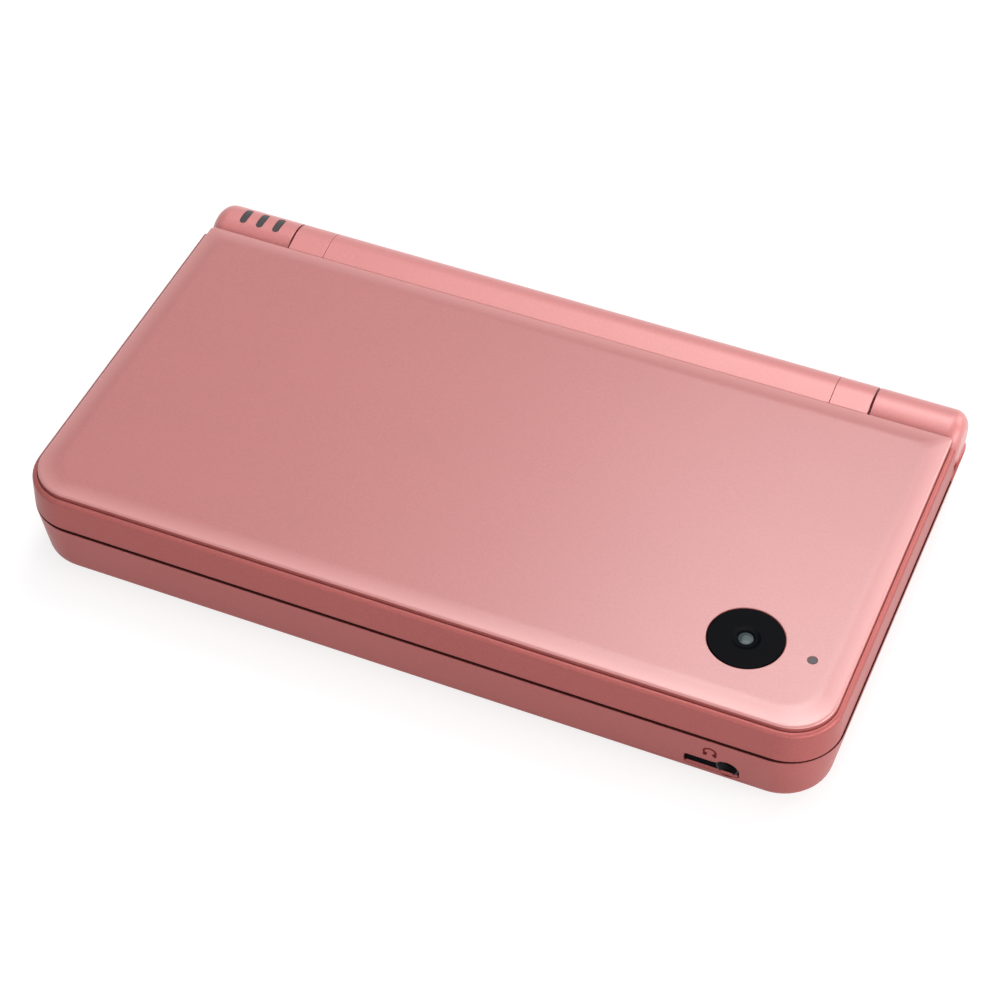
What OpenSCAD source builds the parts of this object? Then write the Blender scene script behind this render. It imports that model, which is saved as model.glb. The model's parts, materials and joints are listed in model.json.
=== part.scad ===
// Clamshell handheld game console, closed at rest.
// +X is to the right of the person holding it, -Y is the front edge with the headphone socket,
// +Y is the hinge and +Z is up. The origin is on the table, under the middle of the case.

/* [Case] */
// Width of the base beside the picture, on each side
side_room = 37.85; // [36:0.05:40.35]
// Depth of the base in front of the lower picture
front_room = 9.7; // [9.2:0.1:12]
// Depth of the base behind the lower picture, hinge included
rear_room = 17.7; // [17.1:0.1:20]
// Height of the base without its feet
base_h = 11.95; // [11.8:0.05:13]
// Height of the lid's edge, from the seam to its rim
lid_h = 6.85; // [6.7:0.05:8]
// Height of the crowned top panel above the lid's rim
crown = 1.5; // [1.3:0.1:1.6]
// Open seam between the lid and the base
seam = 0.4; // [0.3:0.05:0.6]
// Radius of the base's front corners, seen from above
corner_r = 11; // [9:0.5:13]
// Radius of the base's rear corners, seen from above
rear_corner_r = 5; // [4.6:0.1:6]
// Lean of the base's sides, in degrees
draft = 8.4; // [6:0.2:9]
// Radius where the base's sides meet its underside
bottom_r = 2.3; // [1.6:0.1:2.5]
// Wall of the base and the lid
wall = 1.6; // [1.4:0.1:1.8]
// Thickness of the base's floor
floor_t = 1.4; // [1.3:0.1:1.5]
// How far the lid's edge stands in from the base's edge
lid_inset = 0.3; // [0.1:0.1:0.6]
// Radius of the lid's front corners
lid_corner_r = 10; // [9:0.5:12]
// Width of the lid's rim around the top panel
rim_w = 1.15; // [1:0.05:1.4]
// Depth of the top panel's seat below the rim
panel_seat = 0.55; // [0.4:0.05:0.7]

/* [Hinge] */
// Radius of the hinge barrel
barrel_r = 6; // [5.9:0.05:6.2]
// Half the length of the part of the barrel that turns with the lid
barrel_half = 61.6; // [60:0.2:62]
// Half the length of the barrel's middle cover
cover_half = 53.9; // [52:0.2:56]
// Gap at each end of the turning barrel
knuckle_gap = 0.4; // [0.3:0.05:0.6]
// Room around the turning barrel
hinge_gap = 0.25; // [0.2:0.05:0.4]
// Rounding at the outer ends of the barrel
knuckle_round = 3; // [2:0.25:3.5]
// Radius of the hinge shaft
shaft_r = 2; // [1.6:0.1:2.2]
// Radius of the hollow bush that the ribbon runs through
bush_r = 3; // [2.6:0.1:3.2]

/* [Screens] */
// Width of the picture on each screen
screen_w = 85.3; // [82:0.5:87]
// Height of the picture on each screen
screen_d = 64; // [62:0.5:65]
// Dark border around the lower picture
touch_border = 1; // [0.6:0.1:1.4]
// Dark border around the upper picture
upper_border = 3.4; // [2.6:0.1:3.6]
// How far the upper picture's middle lies from the middle of the lid, towards the hinge
upper_screen_shift = 0.05; // [-0.5:0.05:0.6]
// Thickness of the screen modules
lcd_t = 2.15; // [1.8:0.05:2.3]

/* [Controls] */
// Height of the round buttons above the deck
button_proud = 1.3; // [1:0.1:1.5]
// Travel of the round buttons
button_travel = 0.8; // [0.5:0.1:0.8]
// Radius of the four round buttons
face_button_r = 3.5; // [3:0.1:4]
// Distance of the round buttons from the middle of their diamond
face_button_pitch = 8.2; // [7.8:0.1:8.6]
// How far the controls lie from halfway between the lower screen and the case's side
cluster_shift = -0.575; // [-1:0.025:0]
// Place of the round buttons' diamond and the direction pad, from the picture's middle
cluster_ahead = 10; // [8:0.5:12]
// Length of the direction pad's cross
pad_span = 20.5; // [18:0.5:22]
// Width of the direction pad's arms
pad_arm = 7; // [6:0.25:7.5]
// Tilt of the direction pad, in degrees
pad_tilt = 3.5; // [2:0.5:4]
// Radius of the small buttons
menu_button_r = 2.4; // [2:0.1:2.8]
// Height of the small buttons above the deck
menu_button_proud = 0.6; // [0.4:0.1:0.8]
// How far the small buttons lie nearer the screen than the round buttons' diamond
menu_button_in = 5.5; // [3.5:0.5:7.5]
// Distance of the start button from the middle of the round buttons' diamond
start_drop = 25.5; // [24:0.5:27]
// Distance of the select and power buttons from the middle of the diamond
select_drop = 34.5; // [33:0.5:36]
// Gap around each button in the deck
button_gap = 0.15; // [0.1:0.05:0.25]
// Length of the volume rocker
rocker_l = 15; // [12:0.5:17]
// Height of the volume rocker
rocker_h = 2.8; // [2.4:0.1:3.2]
// Place of the volume rocker, from the picture's middle
rocker_ahead = 14; // [12:0.5:16]
// Height of the shoulder buttons
shoulder_h = 6.5; // [6:0.1:6.6]

/* [Sockets and slots] */
// Place of the headphone socket from the case's right side
jack_in = 18.2; // [17.7:0.1:18.5]
// Radius of the headphone socket's bore
jack_bore_r = 1.8; // [1.7:0.05:1.9]
// Depth of the headphone socket's bore
jack_depth = 13; // [12:0.5:14]
// Height of the headphone socket above the table
jack_z = 4.8; // [4.7:0.05:4.9]
// Width of the game card slot
card_w = 33.6; // [33.2:0.1:34]
// Height of the game card slot
card_h = 4.2; // [4.1:0.05:4.25]
// Place of the game card slot's middle
card_x = -30; // [-31:0.5:-29.5]
// Depth that a game card goes in
card_depth = 32.6; // [32:0.1:33]
// Width of the memory card
sd_w = 24; // [22:0.5:25]
// Gap between the headphone socket and the memory card's socket
sd_gap = 1.55; // [1:0.05:2.5]
// Radius of the stylus
stylus_r = 2.45; // [2:0.05:2.5]
// Length of the stylus
stylus_l = 87.3; // [80:0.5:87.5]
// Place of the stylus, ahead of the hinge's axis
stylus_ahead = 3.7; // [3.6:0.05:3.8]

/* [Cameras and lights] */
// Radius of the outer camera's round window
camera_r = 7; // [5:0.25:7.5]
// Place of the outer camera from the case's right side
camera_in = 21.5; // [20.5:0.2:22.5]
// Place of the outer camera from the lid's front edge
camera_y = 17.6; // [17:0.2:19]
// Distance of the small indicator from the outer camera
indicator_dx = 12.5; // [11:0.25:13]
// Radius of the small indicator
indicator_r = 0.85; // [0.6:0.05:1]
// Pitch of the three status lights
light_pitch = 3.7; // [3:0.1:4]
// Width of each status light
light_w = 1.4; // [1:0.1:1.8]
// Length of each status light around the barrel
light_l = 4.3; // [3:0.1:4.6]

/* [Hidden] */

$fn = 48;
// Cutting tools run this far past the faces that they cut
past = 1;
// Clearance of a shaft or a screw in its hole
fit = 0.05;
// Clearance of a cover or a window in its opening
slip = 0.15;

rose = [0.80, 0.52, 0.52];
pearl = [0.93, 0.91, 0.90];
black = [0.05, 0.05, 0.06];
steel = [0.72, 0.73, 0.75];
board_green = [0.10, 0.35, 0.22];
grey = [0.35, 0.35, 0.37];
rubber_grey = [0.25, 0.25, 0.26];

// Heights, from the table up
foot_h = 0.5;
foot_seat = 0.85;
z_bottom = foot_h;
z_floor = z_bottom + floor_t;
z_top = z_bottom + base_h;
z_lid = z_top + seam;
z_rim = z_lid + lid_h;
z_crown = z_rim + crown;
deck_sink = 0.4;
deck_t = 1.2;
z_deck = z_top - deck_sink;
z_deck_under = z_deck - deck_t;
board_t = 1;
button_room = 2.45;
z_board = z_deck_under - button_room;
z_board_under = z_board - board_t;
inner_sink = 1.1;
inner_t = 1.2;
z_inner = z_lid + inner_sink;
z_inner_back = z_inner + inner_t;
z_panel = z_rim - panel_seat;
web_t = 1.2;
z_web = z_panel - fit;
z_web_under = z_web - web_t;

// Sizes and edges of the case and the lid
case_w = screen_w + 2 * side_room;
case_d = screen_d + front_room + rear_room;
half_w = case_w / 2;
half_d = case_d / 2;
lid_half_w = half_w - lid_inset;
lid_front = -half_d + lid_inset;
panel_half_w = lid_half_w - rim_w - slip;
panel_front = lid_front + rim_w + slip;
axis_y = half_d - barrel_r;
axis_z = z_crown - barrel_r;
lid_clear = 0.4;
lid_back = axis_y - barrel_r - lid_clear;
panel_overhang = 1.7;
panel_back = lid_back + panel_overhang;
neck_front = panel_back + 2 * fit;
neck_top = z_crown - 0.9;
neck_reach = [axis_y - neck_front, neck_top - axis_z];
neck_turn = atan2(neck_reach[1], neck_reach[0]) + acos((barrel_r - 0.005) / norm(neck_reach));
neck_meet = [axis_y - (barrel_r - 0.005) * cos(neck_turn), axis_z + (barrel_r - 0.005) * sin(neck_turn)];
knuckle_in = barrel_half + knuckle_gap;
knuckle_end = half_w - 0.5;
rear_lip_z = z_top - 1.55;
knuckle_back_z = z_top - 0.55;
trough_wall = 1;
deck_front = -half_d + wall + slip + lean(z_deck_under);
deck_back = axis_y - barrel_r - hinge_gap - 0.4;
deck_half_w = half_w - wall - slip - lean(z_deck_under);
lower_screen_y = -half_d + front_room + screen_d / 2;
upper_screen_y = (lid_front + lid_back) / 2 + upper_screen_shift;

// Shape helpers

// Points of an arc, as [along, up] pairs
function arc(centre, r, from, to, steps) =
    [for (i = [0:steps]) let (a = from + (to - from) * i / steps)
        [centre[0] + r * cos(a), centre[1] + r * sin(a)]];

function mid(range) = (range[0] + range[1]) / 2;
function span(range) = range[1] - range[0];
// A range that starts at a middle and reaches as far each way
function around(centre, half) = [centre - half, centre + half];
// How far the base's side has leant in at a height
function lean(z) = (z_top - z) * tan(draft);

module block(x, y, z) {
    translate([x[0], y[0], z[0]]) cube([span(x), span(y), span(z)]);
}

module rounded_rect(w, d, r) {
    square([w - 2 * r, d], center = true);
    square([w, d - 2 * r], center = true);
    for (sx = [-1, 1], sy = [-1, 1])
        translate([sx * (w / 2 - r), sy * (d / 2 - r)]) circle(r);
}

// Flat plate with round corners, between ranges in X, Y and Z
module plate(x, y, z, r) {
    translate([mid(x), mid(y), z[0]]) linear_extrude(span(z)) rounded_rect(span(x), span(y), r);
}

module z_rod(r, x, y, z) {
    translate([x, y, z[0]]) cylinder(r = r, h = span(z));
}

module x_rod(r, x, y, z) {
    translate([x[0], y, z]) rotate([0, 90, 0]) cylinder(r = r, h = span(x));
}

module y_rod(r, x, y, z) {
    translate([x, y[1], z]) rotate([90, 0, 0]) cylinder(r = r, h = span(y));
}

// Rod along the hinge's axis
module axis_rod(r, x) {
    x_rod(r, x, axis_y, axis_z);
}

// Copies for the left and the right side
module both_sides() {
    children();
    mirror([1, 0, 0]) children();
}

// Closed form whose sides follow a profile of [inset, height] pairs, from the bottom up,
// around a rectangle with round front and rear corners
module profiled_box(x, y, r_front, r_rear, profile) {
    count = len(profile);
    low = profile[0][1];
    high = profile[count - 1][1];
    translate([0, y[1] - r_rear, 0]) rotate([90, 0, 0]) linear_extrude(span(y) - r_front - r_rear)
        polygon(concat([for (p = profile) [x[1] - p[0], p[1]]],
            [for (i = [count - 1:-1:0]) [x[0] + profile[i][0], profile[i][1]]]));
    translate([x[0] + r_front, 0, 0]) rotate([90, 0, 90]) linear_extrude(span(x) - 2 * r_front)
        polygon(concat([for (p = profile) [y[0] + p[0], p[1]]],
            [[y[0] + r_front + past, high], [y[0] + r_front + past, low]]));
    translate([x[0] + r_rear, 0, 0]) rotate([90, 0, 90]) linear_extrude(span(x) - 2 * r_rear)
        polygon(concat([for (p = profile) [y[1] - p[0], p[1]]],
            [[y[1] - r_rear - past, high], [y[1] - r_rear - past, low]]));
    for (sx = [x[0] + r_front, x[1] - r_front])
        translate([sx, y[0] + r_front, 0]) corner_turn(r_front, profile, low, high);
    for (sx = [x[0] + r_rear, x[1] - r_rear])
        translate([sx, y[1] - r_rear, 0]) corner_turn(r_rear, profile, low, high);
}

module corner_turn(r, profile, low, high) {
    rotate_extrude()
        polygon(concat([[0, low]], [for (p = profile) [r - p[0], p[1]]], [[0, high]]));
}

// Leaning side with a round foot, as [inset, height] pairs
function tub_profile(foot_z, foot_r, top_z) =
    let (centre_z = foot_z + foot_r,
         centre_in = foot_r / cos(draft) + (z_top - centre_z) * tan(draft))
    concat([for (i = [0:5]) let (a = 90 + (draft - 90) * i / 5)
                [centre_in - foot_r * cos(a), centre_z - foot_r * sin(a)]],
           [[lean(top_z), top_z]]);

// Outer form of the base, drawn in by a margin all round
module base_form(margin) {
    profiled_box(around(0, half_w - margin), around(0, half_d - margin),
        corner_r - margin, rear_corner_r - margin * 0.8,
        tub_profile(z_bottom + margin * 0.5, bottom_r, z_top));
}

module base_cavity() {
    profiled_box(around(0, half_w - wall), around(0, half_d - wall),
        corner_r - wall, rear_corner_r - 0.4, tub_profile(z_floor, 1, z_top + past));
}

// Screw with a cross recess: its head is at the low end and its shank points up
module screw(x, y, z_head, head_r, head_h, shank_r, length) {
    recess_w = head_r * 0.28;
    difference() {
        union() {
            z_rod(head_r, x, y, [z_head, z_head + head_h]);
            z_rod(shank_r, x, y, [z_head + head_h - fit, z_head + length]);
        }
        for (turn = [0, 90])
            translate([x, y, z_head]) rotate([0, 0, turn])
                cube([head_r * 1.2, recess_w, head_h], center = true);
    }
}

// Places that several sub-parts share
post_x = half_w - 10.5;
post_ys = [-half_d + 9.7, half_d - 15.7];
post_r = 2.4;
post_bore_r = 1.03;
screw_head_z = z_bottom + foot_seat + slip;
lid_post_x = lid_half_w - 6.8;
lid_post_ys = [lid_front + 5.8, lid_back - 5.7];
cluster_x = (screen_w / 2 + touch_border + half_w) / 2 + cluster_shift;
cluster_y = lower_screen_y + cluster_ahead;
menu_button_x = cluster_x - menu_button_in;
start_y = cluster_y - start_drop;
select_y = cluster_y - select_drop;
pad_centre = [-cluster_x, cluster_y];
button_places = [
    [cluster_x, cluster_y + face_button_pitch], [cluster_x + face_button_pitch, cluster_y],
    [cluster_x, cluster_y - face_button_pitch], [cluster_x - face_button_pitch, cluster_y]
];
start_place = [menu_button_x, start_y];
select_place = [menu_button_x, select_y];
power_place = [-menu_button_x, select_y];
dome_r = 2;
membrane_t = 0.6;
membrane_z = [z_board + fit, z_board + fit + membrane_t];
flange_t = 0.7;
flange_z = [membrane_z[1] + button_travel + fit, membrane_z[1] + button_travel + fit + flange_t];
volume_z = 6.2;
rocker_y = lower_screen_y + rocker_ahead;
volume_pivot_x = -(half_w - 3.9);
flange_x = around(volume_pivot_x, 0.6);
flange_l = rocker_l + 3;
shoulder_z = [3.3, 3.3 + shoulder_h];
shoulder_pin_x = knuckle_in + 2.6;
shoulder_pin_y = half_d - 3.1;
shoulder_pin_r = 0.75;
shoulder_front = half_d - 4.8;
shoulder_swing = 1.2;
shoulder_switch_x = [half_w - 11.5, half_w - 7.5];
stylus_z = 4.95;
stylus_y = axis_y - stylus_ahead;
stylus_head_l = 2.8;
stylus_head_r = stylus_r + 0.35;
stylus_end = half_w - 1.2;
sleeve_wall = 0.4;
card_z = [2.7, 2.7 + card_h];
card_back = half_d - wall - lean(z_floor) - 0.5;
socket_wall = 1;
spring_room = 1.5;
charger_x = (card_x - card_w / 2 - socket_wall - shoulder_pin_x + spring_room) / 2;
charger_hole = [6, 2];
charger_z = 4.6;
charger_back = half_d - wall - lean(z_floor) - 0.3;
jack_x = half_w - jack_in;
jack_hole_r = 2.3;
jack_clear = 0.5;
jack_slot_x = [jack_x - 8.1, jack_x + 2.4];
jack_slot_z = [jack_z - 1.9, jack_z + 1.2];
jack_body_h = 5.6;
jack_mouth = -half_d + wall + lean(jack_z - jack_body_h / 2) + jack_clear;
jack_end = jack_mouth + jack_depth + 1;
sd_y = jack_end + sd_gap + socket_wall + sd_w / 2;
sd_z = [4.2, 6.8];
sd_depth = 26.6;
sd_mouth = 3.9;
sd_door_z = [3.15, 8.2];
sd_door_half = sd_w / 2 + 1.6;
sd_pivot_x = half_w - 2.1;
sd_pivot_z = 3.9;
sd_pintle_r = 0.5;
cover_x = [-42, 26];
cover_y = [-half_d + 6.7, lower_screen_y + 11];
cover_t = 0.8;
cover_rim = 2;
bay_x = [cover_x[0] + cover_rim, 16];
bay_y = [cover_y[0] + cover_rim, cover_y[1] - cover_rim];
cover_screw_x = (bay_x[1] + cover_x[1]) / 2;
cover_screw_ys = [cover_y[0] + 8, cover_y[1] - 8];
light_angle = 94;
light_x0 = -(knuckle_in + knuckle_end) / 2 + 1.25;
lights = [-1, 0, 1];
inner_camera_angle = 55;
inner_camera_r = 2.6;
collar_x = [cover_half + fit, barrel_half];
clutch_x = [knuckle_in + 1.3, knuckle_end - 2.5];
clutch_r = 4.2;
camera_place = [half_w - camera_in, lid_front + camera_y];
indicator_place = [camera_place[0] + indicator_dx, camera_place[1] - 0.3];
window_t = 0.95;
speaker_x = half_w - 18.5;
speaker_y = upper_screen_y;
speaker_slot = [5, 18];
speaker_t = 2.3;
speaker_half = [6.4, 11];
speaker_rim = [1.8, 2];
speaker_corner = 2;
shield_x = [26.5, 44];
shield_y = [-30, 0];
shield_wall = 0.3;
radio_x = [-half_w + 10.5, -half_w + 32.5];
radio_y = [-27, -7];
radio_t = 1.8;
lcd_side = 1.6;
flex_x = [-50, -38];
flex_z = [z_inner_back + 0.6, z_inner_back + 0.9];

// Base

module base_shell() {
    color(rose) difference() {
        union() {
            base_tub();
            base_posts();
            both_sides() knuckle();
            volume_lugs();
            shoulder_lugs();
        }
        // Room for the barrel that turns with the lid
        axis_rod(barrel_r + hinge_gap, around(0, knuckle_in));
        base_bottom_cuts();
        base_side_cuts();
        knuckle_cuts();
    }
}

module base_tub() {
    difference() {
        union() {
            difference() {
                base_form(0);
                base_cavity();
            }
            // Trough under the barrel
            intersection() {
                base_form(0);
                axis_rod(barrel_r + hinge_gap + trough_wall, around(0, knuckle_in + past));
                block(around(0, half_w), [0, half_d], [0, z_deck]);
            }
        }
        // The rear wall is lower, to let the open lid pass
        block(around(0, case_w), [axis_y + 4, half_d + past], [rear_lip_z, z_lid]);
    }
}

module base_posts() {
    for (x = [-post_x, post_x], y = post_ys)
        z_rod(2.6, x, y, [z_floor - fit, z_board_under - 0.2]);
    for (y = cover_screw_ys) z_rod(2.4, cover_screw_x, y, [z_floor - fit, 5]);
    // Rib behind the left shoulder button's switch
    block([-shoulder_switch_x[1] - 1, -shoulder_switch_x[0] + 1],
        [shoulder_front - 2.9, shoulder_front - 1.8], [z_floor - fit, 8.5]);
}

// End of the barrel that belongs to the base, with the blocks that carry it
module knuckle() {
    reach = knuckle_end - knuckle_in;
    low = axis_z - barrel_r;
    translate([knuckle_in, axis_y, axis_z]) rotate([0, 90, 0]) rotate_extrude()
        polygon(concat([[0, 0], [barrel_r, 0]],
            arc([barrel_r - knuckle_round, reach - knuckle_round], knuckle_round, 0, 90, 9),
            [[0, reach]]));
    intersection() {
        base_form(0);
        block([knuckle_in, half_w], [lid_back - 0.15, half_d], [low, knuckle_back_z]);
    }
    intersection() {
        base_form(0);
        block([knuckle_in, half_w], [lid_back - 0.15, axis_y], [low, z_top]);
    }
    block([knuckle_in, knuckle_end - 1], [axis_y - barrel_r, axis_y], [z_top - past, axis_z]);
}

// The volume rocker's pintles turn in these
module volume_lugs() {
    lug_x = [volume_pivot_x - 1.6, volume_pivot_x + 1.2];
    block(lug_x, around(rocker_y, 1.4), [z_floor - fit, volume_z - 2.3]);
    block(lug_x, around(rocker_y, 1.4), [volume_z + 2.3, volume_z + 3.4]);
}

module shoulder_lugs() {
    intersection() {
        base_form(0);
        both_sides() z_rod(1.6, shoulder_pin_x, shoulder_pin_y, [z_floor - fit, shoulder_z[0] - 0.2]);
    }
}

module base_bottom_cuts() {
    for (x = [-post_x, post_x], y = post_ys) {
        z_rod(3.3, x, y, [z_bottom - past, z_bottom + foot_seat]);
        z_rod(2, x, y, [z_bottom, 3.2]);
        z_rod(1.15, x, y, [z_bottom, z_board_under]);
    }
    block(cover_x, cover_y, [z_bottom - past, z_bottom + cover_t + fit]);
    block(bay_x, bay_y, [z_bottom, z_floor + past]);
    for (y = cover_screw_ys) z_rod(0.83, cover_screw_x, y, [z_bottom, 4.5]);
}

module base_side_cuts() {
    // Volume rocker
    block([-half_w - past, -half_w + wall + 2], around(rocker_y, rocker_l / 2 + 0.3),
        around(volume_z, rocker_h / 2 + 0.2));
    z_rod(0.75, volume_pivot_x, rocker_y, [volume_z - 3.3, volume_z + 3.3]);
    // Memory card slot, behind its door
    block([half_w - 4, half_w + past], around(sd_y, sd_door_half + 0.2),
        [sd_door_z[0] - 0.35, sd_door_z[1] + 0.2]);
    y_rod(sd_pintle_r + fit, sd_pivot_x, around(sd_y, sd_door_half + 1.1), sd_pivot_z);
    // Stylus
    x_rod(stylus_head_r + slip, [half_w - 5, half_w + past], stylus_y, stylus_z);
    // Shoulder buttons
    both_sides() {
        block([shoulder_pin_x - 2, half_w + past],
            [shoulder_front - shoulder_swing, half_d + past],
            [shoulder_z[0] - 0.2, shoulder_z[1] + 0.15]);
        z_rod(shoulder_pin_r + 0.02, shoulder_pin_x, shoulder_pin_y,
            [z_floor + 0.4, shoulder_z[1] + 0.9]);
    }
    // Game card slot and charger socket at the back
    block(around(card_x, card_w / 2), [card_back - past, half_d + past], card_z);
    block(around(charger_x, charger_hole[0] / 2), [half_d - 5, half_d + past],
        around(charger_z, charger_hole[1] / 2));
    // Headphone socket and the flat slot beside it
    y_rod(jack_hole_r, jack_x, [-half_d - past, jack_mouth + past], jack_z);
    translate([0, jack_mouth + past, 0]) rotate([90, 0, 0])
        linear_extrude(half_d + jack_mouth + 2 * past)
            translate([(jack_slot_x[0] + jack_slot_x[1]) / 2, (jack_slot_z[0] + jack_slot_z[1]) / 2])
                rounded_rect(span(jack_slot_x), span(jack_slot_z), 0.8);
}

module knuckle_cuts() {
    // Clutch and shaft on the right
    axis_rod(clutch_r + fit, [clutch_x[0] - fit, clutch_x[1] + fit]);
    axis_rod(shaft_r + 0.2, [knuckle_in - past, clutch_x[0] + past]);
    // Lights, their board and the bush on the left
    axis_rod(clutch_r + fit, [-knuckle_end + 2, -clutch_x[0]]);
    axis_rod(bush_r + 0.02, [-knuckle_in - 2, -knuckle_in + past]);
    for (i = lights) light_slot(i, 0.06);
}

module light_slot(i, margin) {
    translate([light_x0 + i * light_pitch, axis_y, axis_z])
        rotate([90 - light_angle, 0, 0]) translate([0, 0, 3.4 - margin])
            linear_extrude(barrel_r)
                rounded_rect(light_w + 2 * margin, light_l + 2 * margin, light_w / 2 - 0.02);
}

module base_deck() {
    lug_r = 1.3;
    color(pearl) difference() {
        union() {
            plate(around(0, deck_half_w), [deck_front, deck_back + 10], [z_deck_under, z_deck],
                corner_r - wall - slip);
            for (x = [-post_x, post_x], y = post_ys)
                z_rod(post_r, x, y, [z_board_under - 0.1, z_deck_under + fit]);
        }
        block(around(0, case_w), [deck_back, half_d], [0, z_lid]);
        for (x = [-post_x, post_x], y = post_ys)
            z_rod(post_bore_r, x, y, [z_board_under - past, z_deck_under - 0.4]);
        plate(around(0, screen_w / 2 + touch_border + slip),
            around(lower_screen_y, screen_d / 2 + touch_border + slip),
            [z_deck_under - past, z_deck + past], 1);
        for (p = button_places)
            z_rod(face_button_r + button_gap, p[0], p[1], [z_deck_under - past, z_deck + past]);
        for (p = [start_place, select_place, power_place])
            z_rod(menu_button_r + button_gap, p[0], p[1], [z_deck_under - past, z_deck + past]);
        translate([pad_centre[0], pad_centre[1], z_deck_under - past])
            linear_extrude(deck_t + 2 * past) pad_cross(button_gap + 0.25);
    }
}

module pad_cross(margin) {
    for (turn = [0, 90]) rotate([0, 0, turn])
        rounded_rect(pad_span + 2 * margin, pad_arm + 2 * margin, 0.8);
}

module battery_cover() {
    color(rose) difference() {
        union() {
            block([cover_x[0] + slip, cover_x[1] - slip], [cover_y[0] + slip, cover_y[1] - slip],
                [z_bottom, z_bottom + cover_t]);
            block([bay_x[0] + slip, bay_x[1] - slip], [bay_y[0] + slip, bay_y[1] - slip],
                [z_bottom + cover_t - fit, z_floor]);
        }
        for (y = cover_screw_ys) {
            z_rod(0.95, cover_screw_x, y, [z_bottom - past, z_floor]);
            z_rod(1.75, cover_screw_x, y, [z_bottom - past, z_bottom + 0.45]);
        }
    }
}

module battery_cover_screws() {
    color(steel) for (y = cover_screw_ys)
        screw(cover_screw_x, y, z_bottom + 0.05, 1.65, 0.38, 0.78, 3.6);
}

module battery_pack() {
    color(grey) plate([bay_x[0] + 2, bay_x[1] - 2], [bay_y[0] + 1.5, bay_y[1] - 1.5],
        [z_floor + 0.1, z_board_under - 0.3], 1.5);
}

module housing_screws() {
    color(steel) for (x = [-post_x, post_x], y = post_ys)
        screw(x, y, screw_head_z, 1.8, 1.7, 1, z_deck_under - 1.15 - screw_head_z);
}

module rubber_feet() {
    foot_r = 3.2;
    color(rubber_grey) for (x = [-post_x, post_x], y = post_ys)
        translate([x, y, 0]) rotate_extrude()
            polygon([[0, 0], [foot_r - 0.5, 0], [foot_r, 0.35], [foot_r, z_bottom + foot_seat],
                [0, z_bottom + foot_seat]]);
}

module main_board() {
    color(board_green) difference() {
        plate([-half_w + 6.7, half_w - 5.5], [-half_d + 3.7, lid_back - 2.3],
            [z_board_under, z_board], 5);
        for (x = [-post_x, post_x], y = post_ys)
            z_rod(post_r + 0.5, x, y, [z_board_under - past, z_board + past]);
        block(around(jack_x, 4), [-half_d, jack_end + 0.5],
            [z_board_under - past, z_board + past]);
    }
}

module processor_shield() {
    color(steel) difference() {
        block(shield_x, shield_y, [4.2, z_board_under - fit]);
        block([shield_x[0] + shield_wall, shield_x[1] - shield_wall],
            [shield_y[0] + shield_wall, shield_y[1] - shield_wall],
            [4.2 + shield_wall, z_board_under + past]);
    }
}

module wireless_module() {
    z = z_board_under - board_t;
    color(board_green) block(radio_x, radio_y, [z, z_board_under - fit]);
    color(steel) block([radio_x[0] + 2, radio_x[1] - 6], [radio_y[0] + 2, radio_y[1] - 2],
        [z - radio_t, z]);
}

module lower_lcd() {
    color(grey) block(around(0, screen_w / 2 + lcd_side), around(lower_screen_y, screen_d / 2 + 3.6),
        [z_board + 0.2, z_board + 0.2 + lcd_t]);
}

module touch_panel() {
    color(black) plate(around(0, screen_w / 2 + touch_border),
        around(lower_screen_y, screen_d / 2 + touch_border),
        [z_deck_under + 0.1, z_deck - 0.1], 0.9);
}

// Rubber sheet with a dome under each button
module membrane(x, y, places) {
    color(grey) {
        plate(x, y, membrane_z, 1.5);
        for (p = places) translate([p[0], p[1], membrane_z[1] - fit])
            cylinder(r1 = dome_r, r2 = dome_r * 0.7, h = 0.6);
    }
}

module face_button_membrane() {
    reach = face_button_pitch + face_button_r;
    membrane(around(cluster_x, reach), around(cluster_y, reach), button_places);
}

module d_pad_membrane() {
    reach = pad_span / 2 - 0.5;
    color(grey) difference() {
        plate(around(pad_centre[0], reach), around(pad_centre[1], reach), membrane_z, 1.5);
        z_rod(2.6, pad_centre[0], pad_centre[1], [z_board, z_deck]);
    }
}

module menu_button_membranes() {
    reach = menu_button_r + 0.9;
    membrane(around(menu_button_x, reach), [select_y - reach, start_y + reach],
        [start_place, select_place]);
    membrane(around(-menu_button_x, reach), around(select_y, reach), [power_place]);
}

module game_card_socket() {
    x = around(card_x, card_w / 2);
    y = [card_back - card_depth, card_back];
    color(steel) difference() {
        block([x[0] - socket_wall, x[1] + socket_wall], [y[0] - 0.8, y[1]],
            [card_z[0] - 0.6, card_z[1] + 0.4]);
        block(x, [y[0], y[1] + past], card_z);
    }
}

module sd_card_socket() {
    color(steel) difference() {
        block([half_w - sd_mouth - sd_depth - 2, half_w - sd_mouth], around(sd_y, sd_w / 2 + socket_wall),
            [sd_z[0] - 0.6, z_board_under - fit]);
        block([half_w - sd_mouth - sd_depth, half_w], around(sd_y, sd_w / 2 + 0.3), sd_z);
    }
}

module headphone_jack() {
    color(black) difference() {
        block(around(jack_x, 3.5), [jack_mouth, jack_end],
            around(jack_z, jack_body_h / 2));
        y_rod(jack_bore_r, jack_x, [jack_mouth - past, jack_mouth + jack_depth], jack_z);
    }
}

module charger_socket() {
    y = [charger_back - 8.8, charger_back];
    color(black) difference() {
        block(around(charger_x, 4.6), y, around(charger_z, 2));
        block(around(charger_x, charger_hole[0] / 2), [y[0] + 2, y[1] + past],
            around(charger_z, charger_hole[1] / 2));
    }
    color(steel) block(around(charger_x, 2), [y[0] + 1.9, y[1] - 1], around(charger_z, 0.3));
}

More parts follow.
